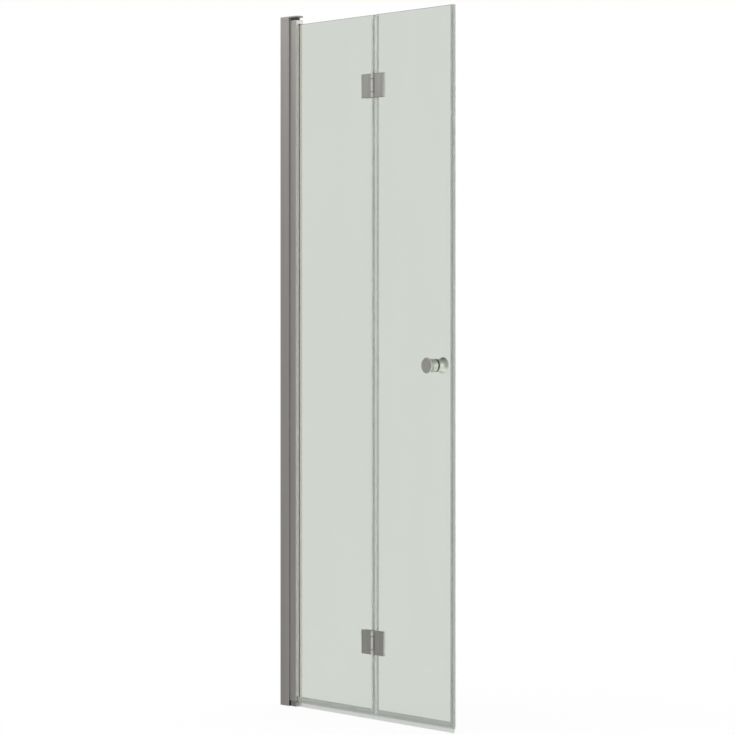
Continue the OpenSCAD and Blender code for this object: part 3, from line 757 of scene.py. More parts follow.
NODE_FINISHES: dict[Finish, tuple[str, ...]] = {
    SATIN_ALUMINIUM: ("adjusting_profile", "pivot_stile"),
    SATIN_STEEL: (
        "lock_screws", "lock_nuts", "top_pivot_pin", "bottom_block_screws", "bottom_pivot_pin",
        "upper_hinge_pin", "lower_hinge_pin", "knob_stud",
    ),
    BEARING_BRONZE: ("thrust_washer",),
    DARK_PLASTIC: (
        "profile_foot", "top_pivot_bush", "bottom_pivot_bush", "glass_packers", "wall_hinge_sleeves",
        "free_hinge_sleeves", "upper_knuckle_bushes", "lower_knuckle_bushes", "knob_sleeve",
    ),
    DARK_RUBBER: ("knob_washers",),
    CLEAR_VINYL: ("wall_hinge_pads", "free_hinge_pads"),
}


# ---------- sub-assemblies ----------


def box_mm(node: str) -> tuple[Vector, Vector]:
    """The lowest and the highest corner of a node of the frame, in millimetres."""
    low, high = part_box(node)
    return low / MM, high / MM


def axis_mm(joint: str) -> Vector:
    """A point on a hinge's axis, in millimetres."""
    return Vector(next(j["pos_m"] for j in frame["joints"] if j["name"] == joint)) / MM


def spaced(count: int, margin: float, height: float) -> list[float]:
    """Heights of evenly spaced places, with a margin at both ends."""
    return [margin + (height - 2 * margin) * i / (count - 1) for i in range(count)]


def clamp_points(level: str, side: Side) -> list[Point]:
    """Places of a hinge's two clamping screws, along and up one leaf."""
    x, (low, high) = axis_mm("fold").x + side.value * CLAMP_REACH, box_mm(f"{level}_wall_hinge_plate")
    return [(x, (low.z + high.z) / 2 + rise) for rise in (-CLAMP_RISE, CLAMP_RISE)]


@dataclass
class WallSide:
    """The profile on the wall with the covers on its locking screws."""

    wall: float = 1.8
    radii: tuple[float, float, float] = (0.25, 0.45, 0.25)
    screw_hole_radius: float = 2.5
    screw_holes: int = 4
    screw_hole_inset: float = 100.0
    cover_radius: float = 5.2
    cover_height: float = 3.4
    cover_edge: float = 1.1
    lock_inset: float = 150.0
    lock_count: int = 3

    def build(self) -> None:
        """Builds the profile and the covers."""
        self.build_profile()
        self.build_covers()

    def build_profile(self) -> None:
        """The drawn channel, its corners eased, with the wall screw holes in its back."""
        low, high = box_mm("wall_profile")
        back, face, hollow = self.radii
        corners = channel(high.x, high.y, high.y - self.wall, self.wall)
        outline = rounded(corners, [back, face, *[hollow] * 4, face, back])
        form = Form()
        form.prism(Plane.PLAN, [outline], low.z, high.z)
        made = form.piece("wall_profile_channel", Body.WALL_SIDE, [SATIN_ALUMINIUM], ["wall_profile"])
        cutters = Form()
        for z in spaced(self.screw_holes, self.screw_hole_inset, high.z):
            cutters.prism(Plane.SIDE, [ring((0, z), self.screw_hole_radius)[::-1]], -1, self.wall + 1)
        cutters.drill(made)

    def build_covers(self) -> None:
        """The domed snap covers on the inside flange."""
        half, top = box_mm("wall_profile")[1].yz
        covers = box_mm("lock_screw_covers")
        lock_x = (covers[0].x + covers[1].x) / 2
        radius, height, edge = self.cover_radius, self.cover_height, self.cover_edge
        crown = arc((radius - edge, height - edge), edge, 0, 90, 5)
        profile = [(0, HAIRLINE), (radius, HAIRLINE), *crown, (0, height)]
        form = Form()
        for z in spaced(self.lock_count, self.lock_inset, top):
            form.turned(Plane.INSIDE, (lock_x, half, z), profile, 48)
        form.piece("lock_screw_snap_covers", Body.WALL_SIDE, [MOULDED_GREY], ["lock_screw_covers"])


@dataclass
class Adjuster:
    """The top cap, the lower block and the gap seal that the adjusting profile carries."""

    cap_plate: float = 3.5
    cap_rims: tuple[float, float] = (0.3, 1.0)
    cap_half: float = 16.0
    skirt_back: float = 1.8
    skirt_side: float = 2.2
    skirt_corner: float = 0.5
    skirt_rim: float = 0.4
    screw_x: float = 31.65
    screw_y: float = 5.0
    screw_head: float = 3.8
    screw_shank: float = 2.1
    head_depth: float = 1.7
    sink_rim: float = 0.3
    collar_groove: float = 0.6
    groove_shares: tuple[float, float] = (0.35, 0.65)
    pin_radius: float = 4.0
    play: float = 0.3
    block_corner: float = 1.5
    block_rims: tuple[float, float] = (0.6, 0.5)
    recess_radius: float = 9.6
    recess_depth: float = 2.0
    neck_half: float = 7.0
    back_corner: float = 6.7
    root_wall: float = 0.7
    root_radii: tuple[float, ...] = (0.1, 0.1, 0.2, 0.1)
    fin_wall: float = 0.8
    fin_share: float = 0.57
    fin_root_deg: float = 185.0
    fin_bite: float = 0.2

    def build(self) -> None:
        """Builds the cap, its screws, the collar, the block and the seal."""
        self.build_cap()
        self.build_cap_screws()
        self.build_collar()
        self.build_block()
        self.build_gap_seal()

    def build_cap(self) -> None:
        """The cap: a plate with a round end, and a skirt over the profile."""
        low, high = box_mm("top_cap")
        plate_z = high.z - self.cap_plate
        profile_x = box_mm("wall_profile")[1].x
        half = self.cap_half
        plate = [(0, half), (0, -half), *arc((high.x - half, 0), half, -90, 90, 24)]
        form = Form()
        form.prism(Plane.PLAN, [plate], plate_z, high.z, self.cap_rims)
        skirt = rounded(channel(profile_x, half, half - self.skirt_side, self.skirt_back), self.skirt_corner)
        form.prism(Plane.PLAN, [skirt], low.z, plate_z + HAIRLINE, (self.skirt_rim, 0.0))
        made = form.piece("top_cap_moulding", Body.ADJUSTER, [MOULDED_GREY], ["top_cap"])
        shank, head = self.screw_shank + HOLE_PLAY, self.screw_head + HOLE_PLAY
        above = self.cap_plate + 1
        sink = [
            (0, -1), (shank, -1), (shank, self.cap_plate - self.head_depth),
            (head, self.cap_plate - self.sink_rim), (head, above), (0, above),
        ]
        cutters = Form()
        for y in (-self.screw_y, self.screw_y):
            cutters.turned(Plane.PLAN, (self.screw_x, y, plate_z), sink, 48)
        cutters.drill(made)

    def build_cap_screws(self) -> None:
        """The two countersunk screws on the cap."""
        top = box_mm("top_cap")[1].z - HAIRLINE
        form = Form()
        for y in (-self.screw_y, self.screw_y):
            centre = (self.screw_x, y, top)
            form.screw_head(Plane.PLAN, centre, self.screw_head, self.screw_shank, self.head_depth)
        form.piece("top_cap_countersunk_screws", Body.ADJUSTER, [SATIN_STEEL], ["top_cap_screws"])

    def build_collar(self) -> None:
        """The collar on the upper pin, with two fine grooves."""
        low, high = box_mm("top_pivot_collar")
        axis = axis_mm("wall_pivot")
        radius, height = high.x - axis.x, high.z - low.z
        groove = self.collar_groove
        floor = radius - groove
        profile: list[Point] = [(floor, 0), (radius, groove)]
        for middle in (height * share for share in self.groove_shares):
            profile += [
                (radius, middle - groove), (floor, middle - groove / 3),
                (floor, middle + groove / 3), (radius, middle + groove),
            ]
        profile += [(radius, height - groove), (floor, height)]
        form = Form()
        form.turned(Plane.PLAN, (axis.x, axis.y, low.z), profile, bore=self.pin_radius)
        form.piece("top_pivot_spacer", Body.ADJUSTER, [DARK_PLASTIC], ["top_pivot_collar"])

    def build_block(self) -> None:
        """The block under the pivot, square outside and round inside, with a tail in the profile."""
        low, high = box_mm("bottom_pivot_block")
        axis_x = axis_mm("wall_pivot").x
        profile_x = box_mm("wall_profile")[1].x + self.play
        half = box_mm("pivot_stile")[1].y
        neck, back, reach = self.neck_half, self.back_corner, high.x - axis_x
        start = 180 + math.degrees(math.asin((neck + back - half) / back))
        front = [(high.x - half, -half), (high.x, -half), (high.x, 0)]
        outline = [
            (profile_x, -neck),
            *arc((axis_x + back - half, back - half), back, start, 270),
            *rounded(front, [0, self.block_corner, 0]),
            *arc((axis_x, 0), reach, 0, math.degrees(math.asin(half / reach)), 24)[1:],
            *arc((axis_x, 0), half, 90, 180 - math.degrees(math.asin(neck / half)), 16),
            (profile_x, neck),
        ]
        floor = high.z - self.recess_depth
        recess = ring((axis_x, 0), self.recess_radius)
        foot_rim, top_rim = self.block_rims
        tail = rectangle(low.x, -high.y, profile_x, high.y)
        tail_low = box_mm("profile_foot")[1].z + self.play
        form = Form()
        form.prism(Plane.PLAN, [outline], low.z, floor, (foot_rim, 0.0))
        form.prism(Plane.PLAN, [outline, recess], floor, high.z, (0.0, top_rim))
        form.prism(Plane.PLAN, [tail], tail_low, high.z)
        form.piece("bottom_pivot_housing", Body.ADJUSTER, [DARK_ZINC], ["bottom_pivot_block"])

    def build_gap_seal(self) -> None:
        """The strip on the adjusting profile, with its fin round the stile's back corner; its darkness is
        partly the seal's own grey rubber and partly painted shade in the gap.
        """
        low, high = box_mm("pivot_gap_seal")
        half = box_mm("pivot_stile")[1].y
        centre = (axis_mm("wall_pivot").x + self.back_corner - half, self.back_corner - half)
        root_x = low.x + self.root_wall
        near = self.back_corner + self.play
        tip = 180 + math.degrees(math.asin(self.fin_share))
        fin = [
            *arc(centre, near + self.fin_wall, self.fin_root_deg, tip, 10),
            *arc(centre, near, tip, 180, 10),
            (root_x - self.fin_bite, centre[1]),
        ]
        root = [(low.x, high.y), (low.x, low.y), (root_x, low.y), (root_x, high.y)]
        form = Form()
        form.prism(Plane.PLAN, [rounded(root, self.root_radii, 3)], low.z, high.z)
        form.prism(Plane.PLAN, [fin], low.z, high.z)
        form.piece("pivot_gap_strip", Body.ADJUSTER, [GAP_RUBBER_AND_SHADE], ["pivot_gap_seal"])


@dataclass
class WallLeafEnds:
    """The end caps of the stile and the gaskets beside the glass."""

    half: float = 12.5
    jaw_reach: float = 14.7
    corner: float = 1.5
    back_corner: float = 6.7
    slot_start: float = 6.5
    slot_half: float = 4.5
    slot_radii: tuple[float, float] = (0.5, 0.3)
    bush_radius: float = 5.5
    edge: float = 1.1
    seam: float = 0.35
    gasket_wall: float = 1.5
    gasket_radii: tuple[float, ...] = (0.1, 0.2, 0.5, 0.15, 0.0, 0.1)
    gasket_rim: float = 0.2
    lip_width: float = 0.8
    lip_height: float = 1.7

    def outline(self, slotted: bool) -> Outline:
        """The stile's outline about the pivot axis.

        Args:
            slotted: Whether the slot for the glass is open.

        Returns:
            The outline, counterclockwise.
        """
        reach, half, middle = self.jaw_reach, self.half, self.back_corner - self.half
        back = arc((0, 0), half, 90, 180, 24) + arc((middle, middle), self.back_corner, 180, 270)
        ends: list[Point] = [(reach, -half), (reach, half)]
        radii = [self.corner, self.corner]
        if slotted:
            slot, (mouth, floor) = self.slot_half, self.slot_radii
            ends[1:1] = [(reach, -slot), (self.slot_start, -slot), (self.slot_start, slot), (reach, slot)]
            radii[1:1] = [mouth, floor, floor, mouth]
        return rounded([*back, *ends], [0.0] * len(back) + radii)

    def build(self) -> None:
        """Builds the end caps and the gaskets."""
        axis_x = axis_mm("wall_pivot").x
        stile_low, stile_high = box_mm("pivot_stile")
        bore = ring((axis_x, 0), self.bush_radius)
        top = (stile_high.z, box_mm("stile_top_cap")[1].z)
        foot = (box_mm("stile_bottom_cap")[0].z, stile_low.z)
        for node, name, span, rims in (
            ("stile_top_cap", "stile_upper_end_cap", top, (self.seam, self.edge)),
            ("stile_bottom_cap", "stile_lower_end_cap", foot, (self.edge, self.seam)),
        ):
            outline = shifted(self.outline(span is foot), axis_x)
            form = Form()
            form.prism(Plane.PLAN, [outline, bore], *span, rims)
            form.piece(name, Body.WALL_LEAF, [END_CAP_METAL], [node])
        self.build_gaskets()

    def build_gaskets(self) -> None:
        """The gaskets, each with a rounded bead beside its jaw."""
        for place, side in (("front", -1), ("rear", 1)):
            node = f"{place}_glass_gasket"
            low, high = box_mm(node)
            glass = (high.y if side < 0 else low.y) + side * HAIRLINE
            jaw_x = high.x - self.lip_width
            wall = glass + side * (self.gasket_wall - 2 * HAIRLINE)
            bead = glass + side * (self.lip_height - HAIRLINE)
            corners = [
                (low.x, glass), (high.x, glass), (high.x, bead), (jaw_x, bead), (jaw_x, wall), (low.x, wall)
            ]
            outline = rounded(corners[::side], self.gasket_radii[::side])
            form = Form()
            form.prism(Plane.PLAN, [outline], low.z, high.z, (self.gasket_rim, self.gasket_rim), 2)
            form.piece(f"{place}_gasket_bead", Body.WALL_LEAF, [SOFT_GREY], [node])


@dataclass
class GlassPane:
    """One leaf's pane of safety glass with polished edges and drilled holes."""

    side: Side
    corner: float = 1.2
    arris: float = 0.7
    hole_radius: float = 6.0

    def build(self, *more_holes: Point) -> None:
        """Builds the pane.

        Args:
            *more_holes: Places of holes beside the hinges' own, along and up the door.
        """
        node = f"{self.side.leaf}_glass"
        low, high = box_mm(node)
        outlines = [rounded(rectangle(low.x, low.z, high.x, high.z), self.corner, 3)]
        holes = [point for level in LEVELS for point in clamp_points(level, self.side)]
        outlines += [ring(point, self.hole_radius, 40) for point in (*holes, *more_holes)]
        form = Form()
        form.prism(Plane.FRONT, outlines, low.y, high.y, (self.arris, self.arris), 1, side_finish=1)
        form.piece(f"{self.side.leaf}_pane", self.side.body, [CLEAR_GLASS, GLASS_EDGE], [node])


@dataclass
class HingeLeaf:
    """One leaf's half of a glass-to-glass hinge: an outside plate with knuckles and an inside plate."""

    level: str
    side: Side
    plate_corner: float = 0.8
    bevels: tuple[float, float] = (1.5, 0.2)
    back_bevel: float = 0.3
    knuckle_radius: float = 6.5
    knuckle_edge: float = 0.5
    knuckle_half: float = 16.5
    knuckle_gap: float = 1.5
    plate_gap: float = 0.3
    neck_reach: float = 8.2
    head_radius: float = 5.5
    shank_radius: float = 3.0
    head_depth: float = 2.4
    head_sink: float = 0.1

    def __post_init__(self) -> None:
        """Reads the place of the inside plate."""
        self.prefix = f"{self.level}_{self.side.leaf}"
        self.back = box_mm(f"{self.prefix}_back_plate")

    def build(self) -> None:
        """Builds both plates."""
        self.build_front_plate()
        self.build_back_plate()

    def build_front_plate(self) -> None:
        """The outside plate with its knuckles and their necks."""
        low, high = box_mm(f"{self.prefix}_hinge_plate")
        fold, glass_y, radius = axis_mm("fold"), self.back[0].y * -1, self.knuckle_radius
        inner = fold.x + self.side.value * (radius + self.plate_gap)
        left, right = (low.x, inner) if self.side is Side.WALL else (inner, high.x)
        plate = rounded(rectangle(left, low.z, right, high.z), self.plate_corner)
        form = Form()
        form.prism(Plane.FRONT, [plate], fold.y, glass_y, self.bevels, 1)
        rise = glass_y - HAIRLINE - fold.y
        knuckle = arc((0, 0), radius, -180, 180 - math.degrees(math.asin(rise / radius)), 48)
        knuckle += [(-self.neck_reach, rise), (-self.neck_reach, 0)]
        middle, reach = (low.z + high.z) / 2, self.knuckle_half
        spans = [(middle - reach, middle + reach)]
        if self.side is Side.FREE:
            reach += self.knuckle_gap
            knuckle, spans = mirrored(knuckle), [(low.z, middle - reach), (middle + reach, high.z)]
        for span in spans:
            edges = (self.knuckle_edge, self.knuckle_edge)
            form.prism(Plane.PLAN, [shifted(knuckle, fold.x, fold.y)], *span, edges)
        node = f"{self.prefix}_hinge_plate"
        form.piece(f"{self.prefix}_outer_plate", self.side.body, [SATIN_PLATE], [node])

    def build_back_plate(self) -> None:
        """The inside plate, with the holes that its screw heads fill."""
        low, high = self.back
        plate = rounded(rectangle(low.x, low.z, high.x, high.z), self.plate_corner)
        holes = [ring(point, self.head_radius + HOLE_PLAY) for point in clamp_points(self.level, self.side)]
        form = Form()
        form.prism(Plane.FRONT, [plate, *holes], low.y, high.y, (0.0, self.back_bevel), 1)
        node = f"{self.prefix}_back_plate"
        form.piece(f"{self.prefix}_inner_plate", self.side.body, [SATIN_PLATE], [node])

    def add_screws(self, form: Form) -> None:
        """Adds the clamping screws' heads.

        Args:
            form: The form that they are added to.
        """
        for x, z in clamp_points(self.level, self.side):
            centre = (x, self.back[1].y - self.head_sink, z)
            form.screw_head(Plane.INSIDE, centre, self.head_radius, self.shank_radius, self.head_depth)


@dataclass
class LeafSeals:
    """One leaf's clear seals, on the fold, on the tray and on the closing edge."""

    side: Side
    wall: float = 1.5
    lead_in: float = 0.35
    mouth: float = 0.1
    tip_radii: tuple[float, float] = (0.5, 0.3)
    nose_radius: float = 1.2
    chamber_share: float = 0.6
    closing_radius: float = 0.3
    root_radius: float = 0.6
    lip_root: float = 1.3
    lip_tip: float = 0.75
    lip_bend: float = 1.1
    lip_steps: int = 8
    fin_walls: tuple[float, float] = (0.1, 0.4)
    fin_slope: float = 1.2
    fin_tip: float = 0.8
    fin_radius: float = 0.3
    fin_reach: float = 2.5
    fin_drop: float = 5.0
    gap: float = 0.3

    def levels(self) -> tuple[float, float, float, float]:
        """Half widths: outside, the lips' outer tips, the glass gap and the lips' inner tips."""
        half, glass = GLASS_HALF + self.wall, GLASS_HALF + HAIRLINE
        return half, half - self.lead_in, glass, glass + self.mouth

    def fold_outlines(self, grip: float, nose: float) -> list[Outline]:
        """The parts of a fold seal on a glass edge at u = 0, with the nose to +u.

        Args:
            grip: Length of the lips on the glass.
            nose: Length of the nose.

        Returns:
            The outside lip, the inside lip and the nose, counterclockwise, and the nose's chamber.
        """
        half, tip, glass, mouth = self.levels()
        outer, inner = self.tip_radii
        outside = [(-grip, -tip), (0, -half), (0, -glass), (-grip, -mouth)]
        inside = [(-grip, mouth), (0, glass), (0, half), (-grip, tip)]
        round_nose = [0, self.nose_radius, self.nose_radius, 0]
        return [
            rounded(outside, [outer, 0, 0, inner]),
            rounded(inside, [inner, 0, 0, outer]),
            rounded(rectangle(HAIRLINE, -half, nose, half), round_nose),
            ring((nose / 2, 0), nose / 2 - self.wall * self.chamber_share, 24),
        ]

    def build_fold_seal(self) -> None:
        """The seal on the fold edge, in three lengths between the hinges."""
        leaf = self.side.leaf
        low, high = box_mm(f"{leaf}_fold_seal")
        glass_low, glass_high = box_mm(f"{leaf}_glass")
        # The noses' darker vinyl is painted shade along the fold; the free grip's lighter vinyl is a painted
        # highlight.
        if self.side is Side.WALL:
            edge_x, finishes = glass_high.x, [CLEAR_VINYL, WALL_NOSE_SHADED_VINYL]
            outlines = self.fold_outlines(edge_x - low.x, high.x - edge_x)
        else:
            edge_x, finishes = glass_low.x, [FREE_GRIP_LIT_VINYL, FREE_NOSE_SHADED_VINYL]
            outlines = [mirrored(part) for part in self.fold_outlines(high.x - edge_x, edge_x - low.x)]
        outer_lip, inner_lip, *nose = [shifted(outline, edge_x) for outline in outlines]
        stops = [low.z]
        for level in LEVELS:
            plate_low, plate_high = box_mm(f"{level}_{leaf}_back_plate")
            stops += [plate_low.z - self.gap, plate_high.z + self.gap]
        stops.append(high.z)
        form = Form()
        for span in zip(stops[::2], stops[1::2]):
            form.prism(Plane.PLAN, [outer_lip], *span)
            form.prism(Plane.PLAN, [inner_lip], *span)
            form.prism(Plane.PLAN, nose, *span, side_finish=1)
        form.piece(f"{leaf}_fold_edge_seal", self.side.body, finishes, [f"{leaf}_fold_seal"])

    def build_closing_seal(self) -> None:
        """The seal on the closing edge with its hollow square nose."""
        low, high = box_mm("closing_seal")
        edge_x = box_mm("free_glass")[1].x
        grip, nose = edge_x - low.x, high.x - edge_x
        half, tip, glass, mouth = self.levels()
        (outer, inner), corner = self.tip_radii, self.closing_radius
        corners = [
            (-grip, -tip), (nose, -half), (nose, half), (-grip, tip),
            (-grip, mouth), (HAIRLINE, glass), (HAIRLINE, -glass), (-grip, -mouth),
        ]
        outline = rounded(corners, [outer, corner, corner, outer, inner, 0.0, 0.0, inner])
        room, far = GLASS_HALF - 2 * HAIRLINE, nose - self.wall
        chamber = rounded([(self.wall, -room), (self.wall, room), (far, room), (far, -room)], self.wall / 2)
        form = Form()
        form.prism(Plane.PLAN, [shifted(outline, edge_x), shifted(chamber, edge_x)], low.z, high.z)
        form.piece("closing_edge_seal", self.side.body, [CLOSING_VINYL], ["closing_seal"])

    def build_bottom_seal(self) -> None:
        """The seal on the lower edge: a grip, a curved lip and a drip fin."""
        leaf = self.side.leaf
        low, high = box_mm(f"{leaf}_bottom_seal")
        glass_z, fold_x = box_mm(f"{leaf}_glass")[0].z, axis_mm("fold").x
        half, tip, glass, mouth = self.levels()
        (outer, inner), root = self.tip_radii, self.root_radius
        root_z, edge_z = glass_z - self.wall, glass_z - HAIRLINE
        corners = [
            (-half, root_z), (half, root_z), (tip, high.z), (mouth, high.z),
            (glass, edge_z), (-glass, edge_z), (-mouth, high.z), (-tip, high.z),
        ]
        grip = rounded(corners, [root, root, outer, inner, 0.0, 0.0, inner, outer])
        if self.side is Side.WALL:
            ends = (box_mm("front_glass_gasket")[1].x + self.gap, box_mm("wall_fold_seal")[0].x)
            lip_ends = (low.x, fold_x - self.gap)
        else:
            ends = (box_mm("free_fold_seal")[1].x, box_mm("closing_seal")[0].x)
            lip_ends = (fold_x + self.gap, high.x)
        top, reach, (thin, thick) = root_z - HAIRLINE, half + self.fin_reach, self.fin_walls
        foot = top - self.fin_drop
        fin = [
            (self.lip_root + thin, top - self.fin_slope), (reach - self.fin_tip, foot),
            (reach, foot), (self.lip_root + thick, top),
        ]
        form = Form()
        form.prism(Plane.SIDE, [grip], *ends, side_finish=1)
        form.prism(Plane.SIDE, [self.lip_outline(top, low.z)], *lip_ends)
        fin_radii = [0.0, self.fin_radius, self.fin_radius, 0.0]
        form.prism(Plane.SIDE, [rounded(fin, fin_radii, 3)], *lip_ends)
        form.piece(f"{leaf}_tray_seal", self.side.body, [LEVEL_VINYL, GRIP_VINYL], [f"{leaf}_bottom_seal"])

    def lip_outline(self, top: float, bottom: float) -> Outline:
        """The soft lip from the side, bent a little to the outside at its tip.

        Args:
            top: Height of its root.
            bottom: Height of its tip.

        Returns:
            The outline, counterclockwise.
        """
        outside: Outline = []
        inside: Outline = []
        for share in (i / self.lip_steps for i in range(self.lip_steps + 1)):
            z = bottom + (top - bottom) * share
            bend = -self.lip_bend * (1 - share) ** 2
            wall = self.lip_tip + (self.lip_root - self.lip_tip) * share
            outside.append((bend - wall, z))
            inside.append((bend + wall, z))
        return [*outside[::-1], *inside]


@dataclass
class Knobs:
    """The two turned knobs on the free leaf."""

    neck_radius: float = 17.0
    neck: float = 15.0
    bend: float = 0.8
    bend_rise: tuple[float, float] = (0.12, 0.47)
    face_radius: float = 21.0
    edge: float = 1.6
    foot_edge: float = 0.6
    rim_turn: tuple[float, float] = (-20.0, 90.0)
    face_inset: float = 2.2
    dish: float = 0.35
    dish_rings: tuple[Point, ...] = ((1.0, 0.0), (0.8, 0.6), (0.5, 1.0))

    def centre(self) -> Vector:
        """The middle of the outer knob's base, in millimetres."""
        low, high = box_mm("outer_knob")
        return Vector(((low.x + high.x) / 2, high.y, (low.z + high.z) / 2))

    def profile(self, depth: float) -> list[Point]:
        """A knob's section: a straight neck, a flare to a rounded rim, and a dished face.

        Args:
            depth: The knob's depth from its foot to its face.

        Returns:
            Radius and height of each ring, from the foot up.
        """
        neck, bend, (first, second) = self.neck_radius, self.bend, self.bend_rise
        flat = self.face_radius - self.face_inset * self.edge
        return [
            (0, 0), (neck - self.foot_edge, 0), (neck, self.foot_edge), (neck, self.neck - bend),
            (neck + bend * first, self.neck), (neck + bend * second, self.neck + bend),
            *arc((self.face_radius - self.edge, depth - self.edge), self.edge, *self.rim_turn, 8),
            *((flat * reach, depth - self.dish * sink) for reach, sink in self.dish_rings),
            (0, depth - self.dish),
        ]

    def build(self) -> None:
        """Builds both knobs."""
        centre = self.centre()
        # A lighter copy of the plates' satin nickel: painted light that makes up for the lamp falling off at
        # the knobs.
        finish = TurnedMetal(
            "satin_turned_knob", "satin_nickel", (0.44, 0.445, 0.415), (0.49, 0.495, 0.465), (0.26, 0.33),
            0.08, centre=tuple(centre * MM),
        )
        low, high = box_mm("outer_knob")
        profile = self.profile(high.y - low.y)
        inner_y = box_mm("inner_knob")[0].y
        for place, plane, foot_y in (("outer", Plane.OUTSIDE, high.y), ("inner", Plane.INSIDE, inner_y)):
            form = Form()
            form.turned(plane, (centre.x, foot_y, centre.z), profile, 96)
            form.piece(f"{place}_turned_knob", Body.FREE_LEAF, [finish], [f"{place}_knob"])


@dataclass(frozen=True)
class Panel:
    """A soft panel in the surroundings that only what shines shows, bright or, below 0, dark."""

    heading_deg: float
    rise_deg: float
    start: float
    full: float
    strength: float

    def toward(self) -> Vector:
        """The direction of its middle."""
        heading, rise = math.radians(self.heading_deg), math.radians(self.rise_deg)
        level = math.cos(rise)
        return Vector((level * math.cos(heading), level * math.sin(heading), math.sin(rise)))


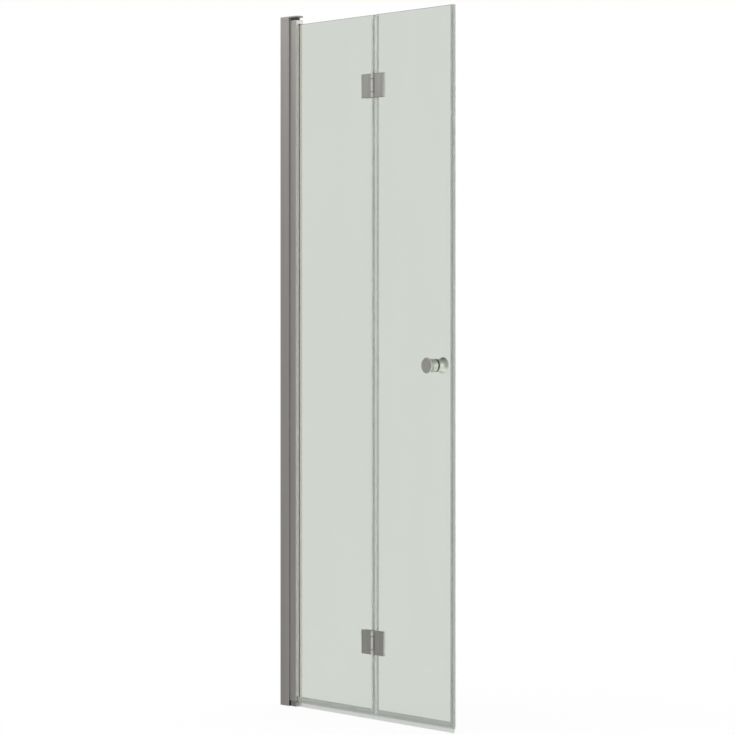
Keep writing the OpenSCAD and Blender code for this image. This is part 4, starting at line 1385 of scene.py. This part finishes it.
@dataclass
class Studio:
    """The camera at the photograph's viewpoint, plain soft light and a pale floor."""

    image: int = 735
    focal_px: float = 2728.3
    horizon_px: float = 321.0
    sensor: float = 36.0
    heading_deg: float = 49.84
    eye: tuple[float, float, float] = (5.9185, -4.6956, 1.0602)
    lamp_place: tuple[float, float, float] = (-1.8, -3.0, 3.4)
    lamp_target: tuple[float, float, float] = (0.35, 0.0, 1.3)
    lamp_size: float = 2.0
    lamp_watts: float = 40.0
    floor_radius: float = 2.2
    floor_full: float = 0.5
    floor_place: tuple[float, float, float] = (0.35, 0.0, -0.0006)
    floor_glow: float = 0.92
    panel_gap: float = -0.48
    panels: tuple[Panel, ...] = (
        Panel(0.0, 0.0, -0.5, 0.2, 0.55),
        Panel(50.0, 0.0, 0.85, 0.97, 1.45),
        Panel(0.0, 90.0, 0.5, 0.9, -0.3),
        Panel(0.0, -90.0, 0.3, 0.85, 1.2),
        Panel(-94.0, 0.0, 0.92, 0.985, 0.8),
    )

    def build(self) -> None:
        """Builds the camera, the surroundings, the floor and the lamp."""
        self.build_camera()
        self.build_world()
        self.build_floor()
        self.build_lamp()
        bpy.context.scene.view_settings.view_transform = "Standard"

    def build_camera(self) -> None:
        """A level camera, with the frame shifted to the photograph's horizon."""
        data = bpy.data.cameras.new("photo_camera")
        data.sensor_width = self.sensor
        data.lens = self.focal_px / self.image * self.sensor
        data.shift_y = (self.horizon_px - self.image / 2) / self.image
        camera = linked("photo_camera", data)
        camera.location = self.eye
        camera.rotation_euler = (math.pi / 2, 0, math.radians(self.heading_deg))
        bpy.context.scene.camera = camera

    def build_lamp(self) -> None:
        """A square soft lamp before the door."""
        data = bpy.data.lights.new("front_fill", "AREA")
        data.size = self.lamp_size
        data.energy = self.lamp_watts
        lamp = linked("front_fill", data)
        lamp.location = self.lamp_place
        toward = Vector(self.lamp_target) - Vector(self.lamp_place)
        lamp.rotation_euler = toward.to_track_quat("-Z", "Y").to_euler()

    def build_world(self) -> None:
        """White surroundings; what shines shows the same white shaped by tall soft panels."""
        world = bpy.data.worlds.new("studio_surroundings")
        bpy.context.scene.world = world
        nodes = Tree.of(world)
        place = nodes.add("ShaderNodeTexCoord").outputs["Generated"]
        level: object = self.panel_gap
        for panel in self.panels:
            lean = nodes.vector("DOT_PRODUCT", place, panel.toward())
            glow = nodes.mapped(lean, (panel.start, panel.full), (0, panel.strength), soft=True)
            level = nodes.maths("ADD", level, glow)
        strength = nodes.maths("MULTIPLY_ADD", level, nodes.mirrored_once(), 1.0)
        white = nodes.add("ShaderNodeBackground", {0: (1, 1, 1, 1), 1: strength})
        nodes.add("ShaderNodeOutputWorld", {"Surface": white.outputs[0]})

    def build_floor(self) -> None:
        """A round pale floor that fades into the surroundings and keeps a faint shadow."""
        form = bmesh.new()
        bmesh.ops.create_circle(form, cap_ends=True, radius=self.floor_radius, segments=96)
        mesh = bpy.data.meshes.new("pale_floor")
        form.to_mesh(mesh)
        form.free()
        floor = linked("pale_floor", mesh)
        floor.location = self.floor_place
        material = bpy.data.materials.new("pale_floor")
        nodes = Tree.of(material)
        reach = nodes.vector("LENGTH", nodes.add("ShaderNodeTexCoord").outputs["Object"])
        fade = nodes.mapped(reach, (self.floor_full, self.floor_radius), soft=True)
        rays = nodes.add("ShaderNodeLightPath").outputs
        seen = rays["Is Camera Ray"]
        for kind in ("Is Glossy Ray", "Is Transmission Ray"):
            seen = nodes.maths("MAXIMUM", seen, rays[kind])
        share = nodes.maths("MULTIPLY", seen, self.floor_glow)
        paint = nodes.add("ShaderNodeBsdfDiffuse", {"Color": (0.92, 0.92, 0.92, 1)}).outputs[0]
        glow = nodes.add("ShaderNodeEmission", {"Color": (1, 1, 1, 1), "Strength": 1.0}).outputs[0]
        near = nodes.add("ShaderNodeMixShader", {0: share, 1: paint, 2: glow}).outputs[0]
        far = nodes.add("ShaderNodeBsdfTransparent").outputs[0]
        clear = nodes.maths("MAXIMUM", fade, nodes.mirrored_once())
        mixed = nodes.add("ShaderNodeMixShader", {0: clear, 1: near, 2: far})
        nodes.add("ShaderNodeOutputMaterial", {"Surface": mixed.outputs[0]})
        mesh.materials.append(material)


def dress_frame() -> None:
    """Gives the frame's own nodes their finishes."""
    for finish, names in NODE_FINISHES.items():
        for name in names:
            for slot in frame["nodes"][name].material_slots:
                slot.material = finish.material()
            LOG.info("%s: %s", name, finish.name)


def main() -> None:
    """Builds the door's pieces in order and sets up the studio."""
    logging.basicConfig(level=logging.INFO, format="%(message)s")
    dress_frame()
    WallSide().build()
    Adjuster().build()
    WallLeafEnds().build()
    knobs = Knobs()
    knob = knobs.centre()
    GlassPane(Side.WALL).build()
    GlassPane(Side.FREE).build((knob.x, knob.z))
    wall_seals, free_seals = LeafSeals(Side.WALL), LeafSeals(Side.FREE)
    wall_seals.build_fold_seal()
    free_seals.build_fold_seal()
    free_seals.build_closing_seal()
    wall_seals.build_bottom_seal()
    free_seals.build_bottom_seal()
    hinges = [HingeLeaf(level, side) for level in LEVELS for side in Side]
    for hinge in hinges:
        hinge.build()
    for side in Side:
        form = Form()
        for hinge in hinges[side is Side.FREE::len(Side)]:
            hinge.add_screws(form)
        node = f"{side.leaf}_hinge_screws"
        form.piece(f"{side.leaf}_clamping_screws", side.body, [SATIN_STEEL], [node])
    knobs.build()
    Studio().build()


if __name__ == "__main__":
    main()
